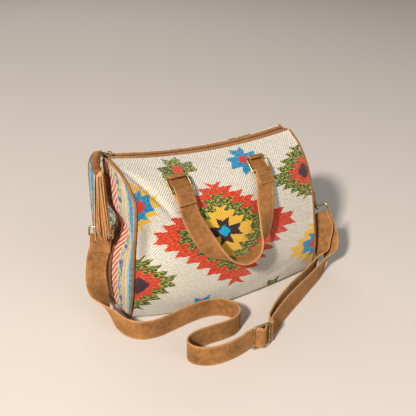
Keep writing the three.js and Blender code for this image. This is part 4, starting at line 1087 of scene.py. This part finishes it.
# Handles: on each face two suede tabs hold rectangular rings, and one suede
# strap hangs between the rings, its ends folded round them and box stitched.
HANDLE_WIDTH = 0.032
HANDLE_THICKNESS = 0.0026
HANDLE_RING_DROP = 0.026
TAB_WIDTH = HANDLE_WIDTH - 0.002
TAB_THICKNESS = 0.002
BOX_INSET = 0.0035
SEAM_INSET = 0.0028
BOX_NEAR, BOX_FAR = 0.0025, 0.0185
HANDLE_PLACES = {"left": (-0.5275, 0.2735, 0.00833), "right": (0.3726, 0.2812, 0.00981)}
BACK_SEAT_DROP = 0.026
HANDLE_LEAN = math.radians(50)
HANDLE_ROUTE = [
    (0.019, 0.0485, 0.053, 1, 0, 0), (0.076, 0.0605, 0.079, 0.97, 0.2, 0),
    (0.176, 0.0695, 0.107, 0.8, 0.6, 0), (0.321, 0.0745, 0.129, 0.45, 0.9, 0.1),
    (0.491, 0.0765, 0.140, 0.1, 1, 0.1),
    (0.660, 0.0755, 0.136, -0.35, 1, 0.1), (0.786, 0.0715, 0.118, -0.75, 0.65, 0),
    (0.855, 0.0625, 0.091, -0.95, 0.3, 0), (0.906, 0.0485, 0.061, -1, 0, 0),
]


def handle_axis_at(place, face):
    """Middle of a handle ring's bar: clear of the panel's skin at that place, lower on the back."""
    s, t, clear = HANDLE_PLACES[place]
    up = t if face < 0 else t - BACK_SEAT_DROP
    return skin(s, up, face) + skin_normal(s, up, face) * clear


def off_cloth(way, bar_way, face):
    """The way turned square to a ring's bar, and the direction square to both, away from the cloth."""
    way = square_to(way, bar_way)
    out = unit(np.cross(way, bar_way))
    return way, -out if out[1] * face < 0 else out


def tab_way(bar, face, bar_way):
    """Way points of a tab: flat on the cloth below the bar, its upper end turned over the bar."""
    s = bar[0] / HALF_LENGTH
    ts = np.arange(0.200, 0.3005, 0.001)
    near = ts[np.argmin(np.linalg.norm((skin(s, ts, face) - bar)[:, 1:], axis=1))]

    def lie(t, out):
        across = unit(skin(s + 0.05, t, face) - skin(s - 0.05, t, face))
        return (*(skin(s, t, face) + skin_normal(s, t, face) * out), *across)

    down, out = off_cloth(skin(s, near - 0.026, face) - skin(s, near - 0.004, face), bar_way, face)
    r = WIRE + GAP + 0.0003 + TAB_THICKNESS / 2
    flat = 0.0012 + TAB_THICKNESS / 2
    turns = [(0.0015, -r), (-0.71 * r, -0.71 * r), (-r, 0), (-0.71 * r, 0.71 * r), (0, r),
             (0.8 * r, 0.75 * r)]
    sewn_down = [lie(near - back, flat) for back in (0.046, 0.034, 0.023, 0.013)]
    return sewn_down + turned(bar, down, out, bar_way, turns)


def box_stitches(stations, half_width, out, start, end):
    """Stitches round a rectangle on a band's face."""
    rows = [band_stitches(stations, across, out, start, end) for across in (-half_width, half_width)]
    places = np.arange(-half_width + 0.002, half_width - 0.001, STITCH_PITCH)
    for at in (start, end):
        p, over, up = (read_off(at, stations[3], rows) for rows in stations[:3])
        ways = [np.tile(way, (len(places), 1)) for way in (unit(over), unit(up) * np.sign(out))]
        rows.append(stitches(p + over * places[:, None] + up * out, *ways))
    return rows


handle_suede = suede("handle_suede", (172, 116, 64), (108, 68, 34), edge_width=HANDLE_WIDTH)
tab_suede = suede("tab_suede", TAN, TAN_SHADE, edge_width=TAB_WIDTH)
for label, face in FRONT_AND_BACK:
    left_bar, right_bar = (handle_axis_at(place, face) for place in ("left", "right"))
    bar_way = unit(right_bar - left_bar)
    lie_way = square_to(np.array([0, face * math.sin(HANDLE_LEAN), -math.cos(HANDLE_LEAN)]), bar_way)
    folds = []
    for where, bar in (("left", left_bar), ("right", right_bar)):
        outline = rounded_loop(HANDLE_WIDTH + 0.007, HANDLE_RING_DROP, 0.0035)
        ring_line = placed(outline * (1, -1) + (0, HANDLE_RING_DROP / 2), bar, bar_way, lie_way)
        cast(f"brass_ring_{label}_{where}", f"{label}_handle", [wire(ring_line, WIRE, closed=True)],
             f"handle_ring_{label}_{where}")
        tab_line = ribbon(tab_way(bar, face, bar_way), 0.0012)
        tab = band_shell(tab_line, TAB_WIDTH, TAB_THICKNESS)
        piece(f"suede_tab_{label}_{where}", "bag", [tab], tab_suede, node=f"handle_tab_{label}_{where}")
        toward = np.sign((tab_line[2][3] * skin_normal(bar[0] / HALF_LENGTH, 0.22, face)).sum())
        box = box_stitches(tab_line, HANDLE_WIDTH / 2 - BOX_INSET, toward * TAB_THICKNESS / 2, BOX_NEAR, 0.033)
        sewn(f"tab_stitches_{label}_{where}", "bag", box)
        along, out = off_cloth(np.array([0, face * 0.62, -0.78]), bar_way, face)
        foot = bar + lie_way * HANDLE_RING_DROP
        folds.append(turn_round(foot, along, out, bar_way, WIRE, HANDLE_THICKNESS, 0.024))
    reach = face * (1 if face < 0 else BACK_DEPTH_RATIO + 0.03)
    middle = (left_bar + right_bar) / 2
    hang = [(left_bar[0] * (1 - share) + right_bar[0] * share, middle[1] + out * reach, middle[2] - below,
             sx, face * sy, sz) for share, out, below, sx, sy, sz in HANDLE_ROUTE]
    fold_back = [(*w[:3], *(-v for v in w[3:])) for w in folds[1][::-1]]
    line = ribbon(folds[0] + hang + fold_back, 0.0014)
    run = line[3][:, None]
    swell = 1 + 0.007 * np.sin(run * 83) + 0.004 * np.sin(run * 211)
    strap_skin = band_shell(line, HANDLE_WIDTH, HANDLE_THICKNESS, swell=swell)
    piece(f"suede_handle_{label}", f"{label}_handle", [strap_skin], handle_suede, node=f"handle_{label}")
    total = line[3][-1]
    seams = []
    for out in (-HANDLE_THICKNESS / 2, HANDLE_THICKNESS / 2):
        for across in (-HANDLE_WIDTH / 2 + SEAM_INSET, HANDLE_WIDTH / 2 - SEAM_INSET):
            seams.append(band_stitches(line, across, out, 0.050, total - 0.050))
        for ends in ((BOX_NEAR, BOX_FAR), (total - BOX_FAR, total - BOX_NEAR)):
            seams += box_stitches(line, HANDLE_WIDTH / 2 - BOX_INSET, out, *ends)
    sewn(f"handle_stitches_{label}", f"{label}_handle", seams)


# Clips: on each gusset a suede tab turned round a D-ring, and in the D-ring
# the strap's swivel snap hook: a bow with a sprung gate, a barrel and a post
# that turns in the boss of the strap's own ring.
RING_TAB_WIDTH = 0.020
D_RING_DROP = 0.018
D_RING_WIDTH = 0.024
HOOK_RING_HEIGHT = 0.017
HOOK_RING_TOP = 0.0463
HALF_BOW = 0.007
BOW = [(HALF_BOW, 0.0266), (0.0065, 0.030), (0.0035, 0.0335), (0, 0.035), (-0.0035, 0.0335),
       (-0.0065, 0.030), (-HALF_BOW, 0.026), (-HALF_BOW, 0.0175), (-HALF_BOW, 0.009), (-0.006, 0.004),
       (-0.0038, 0.0013), (0, 0), (0.0038, 0.0013), (0.006, 0.004), (HALF_BOW, 0.0086)]
GATE = [(HALF_BOW, far) for far in (0.0259 - GAP, 0.0245, 0.017, 0.0105, 0.0093 + GAP)]
GATE_RADII = np.array([0.0009, 0.0013, 0.0013, 0.0013, 0.0008])
BARREL = [(0.034, 0.0026), (0.0343, 0.0034), (0.035, 0.0036), (0.0372, 0.0036), (0.0376, 0.0032),
          (0.0382, 0.0032), (0.0386, 0.0036), (0.041, 0.0036), (0.0417, 0.0034), (0.042, 0.0026)]
POST = [(0.0415, 0.0015), (0.0505, 0.0015), (0.0506, 0.0024), (0.0509, 0.0029), (0.0518, 0.0029),
        (0.0522, 0.0022), (0.0523, 0.0006)]
BOSS = [(0.0426, 0.00205), (0.0426, 0.0030), (0.0430, 0.0036), (0.0495, 0.0036), (0.0499, 0.0030),
        (0.0499, 0.00205), (0.0426, 0.00205)]
CLIPS = {
    "left": {"side": -1, "y": 0.002, "t": 0.214, "clear": 0.0086, "under": STRIP_FACE, "fall": (0, 0, -1),
             "drop": (-0.14, 0.02, -0.99), "wide": (-0.8, 0.6, 0)},
    "right": {"side": 1, "y": -0.045, "t": 0.212, "clear": 0.0076, "under": 0, "fall": (0, -0.5, -0.866),
              "drop": (0.2, -0.5, -0.84), "wide": (0.503, -0.686, 0.527)},
}


def turned_rod(top, down, deep, bar_way, profile):
    """Skin of a round rod along the hook's line, from (distance, radius) pairs."""
    angle = section_ring(28)
    ring = np.cos(angle)[:, None] * deep + np.sin(angle)[:, None] * bar_way
    return shell(np.stack([top + down * c + ring * r for c, r in profile]))


hook_pieces = []
strap_bars = {}
for label, clip in CLIPS.items():
    side, clear = clip["side"], clip["clear"]
    outward, fall = np.array([side, 0.0, 0.0]), unit(np.array(clip["fall"], float))
    bar = gusset_at(side, clip["y"], np.array(clip["t"]), clear)
    bar_way = unit(np.cross(outward, fall))
    r = WIRE + GAP + TAB_THICKNESS / 2
    lay = clear - clip["under"] - GAP - TAB_THICKNESS / 2
    over = -lay + TAB_THICKNESS + GAP
    turns = [(-0.032, -lay), (-0.020, -lay), (-0.009, -(lay + (r - lay) * 0.4)), (0, -r),
             (0.71 * r, -0.71 * r), (r, 0), (0.71 * r, 0.71 * r), (0, r), (-0.009, over + (r - over) * 0.45),
             (-0.020, over), (-0.029, over)]
    tab_line = ribbon(turned(bar, fall, outward, bar_way, turns), 0.001)
    piece(f"clip_tab_{label}", "bag", [band_shell(tab_line, RING_TAB_WIDTH, TAB_THICKNESS)], tab_suede,
          node=f"ring_tab_{label}")
    total = tab_line[3][-1]
    seen = np.sign((tab_line[2][-2] * outward).sum()) * TAB_THICKNESS / 2
    box = box_stitches(tab_line, RING_TAB_WIDTH / 2 - 0.003, seen, total - 0.020, total - BOX_NEAR)
    sewn(f"clip_tab_stitches_{label}", "bag", box)

    down = square_to(np.array(clip["drop"], float), bar_way)
    half = D_RING_WIDTH / 2
    angle = np.linspace(0, np.pi, 33)
    bow_side = np.stack([half * np.cos(angle), 0.003 + (D_RING_DROP - 0.003) * np.sin(angle)], -1)
    foot = np.array([(half, 0.0014), (half - 0.0004, 0.0005), (half - 0.0014, 0), (half / 2, 0)])
    ring_points = np.concatenate([bow_side, foot * (-1, 1), [(0, 0)], foot[::-1]])
    cast(f"brass_d_ring_{label}", "bag", [wire(placed(ring_points, bar, bar_way, down), WIRE, closed=True)],
         f"d_ring_{label}")

    top = bar + down * (D_RING_DROP - 2 * WIRE - GAP)
    wide = square_to(np.array(clip["wide"], float), down)
    deep = unit(np.cross(down, bar_way))
    barrel, post, boss = (turned_rod(top, down, deep, bar_way, profile) for profile in (BARREL, POST, BOSS))
    bow = wire(smooth_line(placed(BOW, top, deep, down), 0.0008), WIRE)
    gate = wire(placed(GATE, top, deep, down), GATE_RADII)
    outline = rounded_loop(STRAP_WIDTH + 2 * WIRE + 0.0014, HOOK_RING_HEIGHT, 0.004)
    ring_line = placed(outline * (1, -1) + (0, HOOK_RING_TOP + HOOK_RING_HEIGHT / 2), top, wide, down)
    strap_ring = wire(ring_line, WIRE, closed=True)
    hook_pieces += [cast(f"snap_hook_{label}", "bag", [bow, barrel, post], f"hook_{label}"),
                    cast(f"sprung_gate_{label}", f"{label}_gate", [gate], f"hook_gate_{label}"),
                    cast(f"swivel_ring_{label}", "bag", [strap_ring, boss], f"strap_ring_{label}")]
    strap_bars[label] = {"bar": top + down * (HOOK_RING_TOP + HOOK_RING_HEIGHT), "down": down, "wide": wide}


# Shoulder strap: one long band of suede, clipped to a ring at each gusset. It
# falls from the left ring, lies on edge over the floor in an S, runs through
# the slider, up over the right ring and back to the slider's middle bar.
STRAP_SLIDER_WIRE = 0.0016
STRAP_SLIDER_HALF = 0.014
STRAP_SLIDER_HEIGHT = 0.041
FLOOR = STRAP_WIDTH / 2 + GAP
SLIDER_LIFT = 0.0224
SLIDER_PLACE = (-0.036, -0.2365)
SLIDER_ANGLE = -0.08
STRAP_ROUTE_FALL = [
    (-0.202, 0.009, 0.078, -0.8, 0.6, 0), (-0.207, 0.003, 0.050, -0.85, 0.5, 0.1),
    (-0.210, -0.016, 0.030, -0.8, 0.2, 0.5), (-0.210, -0.044, 0.0195, -0.4, 0, 0.9),
]
STRAP_ROUTE_S = [
    (-0.207, -0.074), (-0.201, -0.102), (-0.186, -0.120), (-0.165, -0.1275), (-0.138, -0.127),
    (-0.110, -0.124), (-0.084, -0.123), (-0.062, -0.126), (-0.045, -0.134), (-0.034, -0.148),
    (-0.031, -0.163), (-0.036, -0.178), (-0.050, -0.187), (-0.073, -0.189), (-0.098, -0.1865),
    (-0.122, -0.1855), (-0.139, -0.190), (-0.147, -0.200), (-0.145, -0.213), (-0.134, -0.225),
    (-0.116, -0.2325), (-0.094, -0.235),
]
STRAP_ROUTE_TO_SLIDER = [(-0.072, -0.2345, 0.020, 0, 0, 1)]
STRAP_ROUTE_RISE = [
    (-0.006, -0.225, 0.0205, 0, 0.1, 1), (0.020, -0.208, FLOOR, 0, 0.15, 1),
    (0.054, -0.190, FLOOR, 0, 0.15, 1), (0.094, -0.172, FLOOR, 0, 0.1, 1), (0.134, -0.154, FLOOR, 0, 0, 1),
    (0.166, -0.139, FLOOR, 0, 0, 1),
    (0.190, -0.127, 0.021, 0.1, -0.1, 1), (0.206, -0.118, 0.034, 0.3, -0.3, 0.9),
    (0.215, -0.109, 0.056, 0.45, -0.6, 0.6),
]
STRAP_ROUTE_RETURN = [
    (0.201, -0.103, 0.058, 0.45, -0.6, 0.6), (0.193, -0.109, 0.036, 0.3, -0.3, 0.9),
    (0.178, -0.117, 0.022, 0.1, -0.1, 1), (0.155, -0.129, FLOOR, 0, 0, 1), (0.122, -0.144, FLOOR, 0, 0, 1),
    (0.082, -0.162, FLOOR, 0, 0.1, 1), (0.042, -0.183, FLOOR, 0, 0.15, 1), (0.012, -0.203, 0.019, 0, 0.15, 1),
    (-0.006, -0.218, 0.0205, 0, 0.1, 1),
]


def slider_at(a, o, z=SLIDER_LIFT):
    """A point of the strap slider: a along it, o out towards the viewer, z up."""
    c, s = math.cos(SLIDER_ANGLE), math.sin(SLIDER_ANGLE)
    return SLIDER_PLACE[0] + a * c + o * s, SLIDER_PLACE[1] + a * s - o * c, z


def strap_way():
    """The strap's whole route as way points (x, y, z, side x, y, z)."""
    hug = STRAP_SLIDER_WIRE + GAP + STRAP_THICKNESS / 2
    past = hug + STRAP_THICKNESS + GAP
    half = STRAP_SLIDER_HALF
    through = [(-half - 0.009, -0.002), (-half, -hug), (-half / 2, 0.0014), (-0.0025, past - 0.0003),
               (0.0025, past - 0.0003), (half / 2, 0.0014), (half, -hug), (half + 0.008, -0.0034)]
    back = [(half + 0.008, -past - 0.0006), (half, -past), (half / 2, -past + 0.0012),
            (0.0015, -hug - 0.0002), (-0.71 * hug, -0.71 * hug), (-hug, 0), (-0.71 * hug, 0.71 * hug),
            (0.0004, hug)]
    left, right = strap_bars["left"], strap_bars["right"]
    left_out, right_out = (unit(np.cross(end["wide"], end["down"])) for end in (left, right))
    left_out = -left_out if left_out[1] > 0 else left_out
    right_out = -right_out if right_out[0] < 0 else right_out
    start = turn_round(left["bar"], left["down"], left_out, left["wide"], WIRE, STRAP_THICKNESS, 0.026)
    r = WIRE + GAP + STRAP_THICKNESS / 2
    over_ring = turned(right["bar"], right["down"], right_out, right["wide"], [
        (0.022, 0.005), (0.009, 0.0044), (0, r), (-0.71 * r, 0.71 * r), (-r, 0), (-0.71 * r, -0.71 * r),
        (0, -r), (0.009, -0.0044), (0.022, -0.006)])
    on_floor = [(x, y, FLOOR, 0, 0, 1) for x, y in STRAP_ROUTE_S]
    through, back = ([(*slider_at(a, o), 0, 0, 1) for a, o in turns] for turns in (through, back))
    return (start + STRAP_ROUTE_FALL + on_floor + STRAP_ROUTE_TO_SLIDER + through + STRAP_ROUTE_RISE
            + over_ring + STRAP_ROUTE_RETURN + back)


strap_suede = suede("strap_suede", (176, 122, 68), (110, 70, 36), edge_width=STRAP_WIDTH)
strap_line = ribbon(strap_way(), 0.0018)
strap_run = strap_line[3][:, None]
strap_length = float(strap_line[3][-1])
strap_swell = 1 + 0.006 * np.sin(strap_run * 61) + 0.004 * np.sin(strap_run * 173 + 1)
strap_shell = band_shell(strap_line, STRAP_WIDTH, STRAP_THICKNESS, 11, swell=strap_swell)
strap = piece("shoulder_strap_band", "bag", [strap_shell], strap_suede, node="shoulder_strap")

slider_outline = rounded_loop(2 * STRAP_SLIDER_HALF, STRAP_SLIDER_HEIGHT, 0.003) + (0, SLIDER_LIFT)
slider_foot = slider_at(0, 0, 0)
frame_line = placed(slider_outline, slider_foot, np.subtract(slider_at(1, 0, 0), slider_foot), (0, 0, 1))
bar_half = STRAP_SLIDER_HEIGHT / 2
bar_line = np.array([slider_at(0, 0, SLIDER_LIFT + z) for z in np.linspace(-bar_half, bar_half, 9)])
strap_slider = cast("brass_strap_slider", "bag", [wire(frame_line, STRAP_SLIDER_WIRE, closed=True),
                                                  wire(bar_line, STRAP_SLIDER_WIRE)], "strap_slider")
strap_seams = []
for out in (-STRAP_THICKNESS / 2, STRAP_THICKNESS / 2):
    for across in (-STRAP_WIDTH / 2 + SEAM_INSET, STRAP_WIDTH / 2 - SEAM_INSET):
        strap_seams.append(band_stitches(strap_line, across, out, 0.030, strap_length - 0.012))
    strap_seams += box_stitches(strap_line, STRAP_WIDTH / 2 - BOX_INSET, out, BOX_NEAR, 0.0205)
strap_stitches = sewn("strap_stitches", "bag", strap_seams)

[tuple(p) for p in strap_line[0][::6]] + [tuple(strap_line[0][-1])]
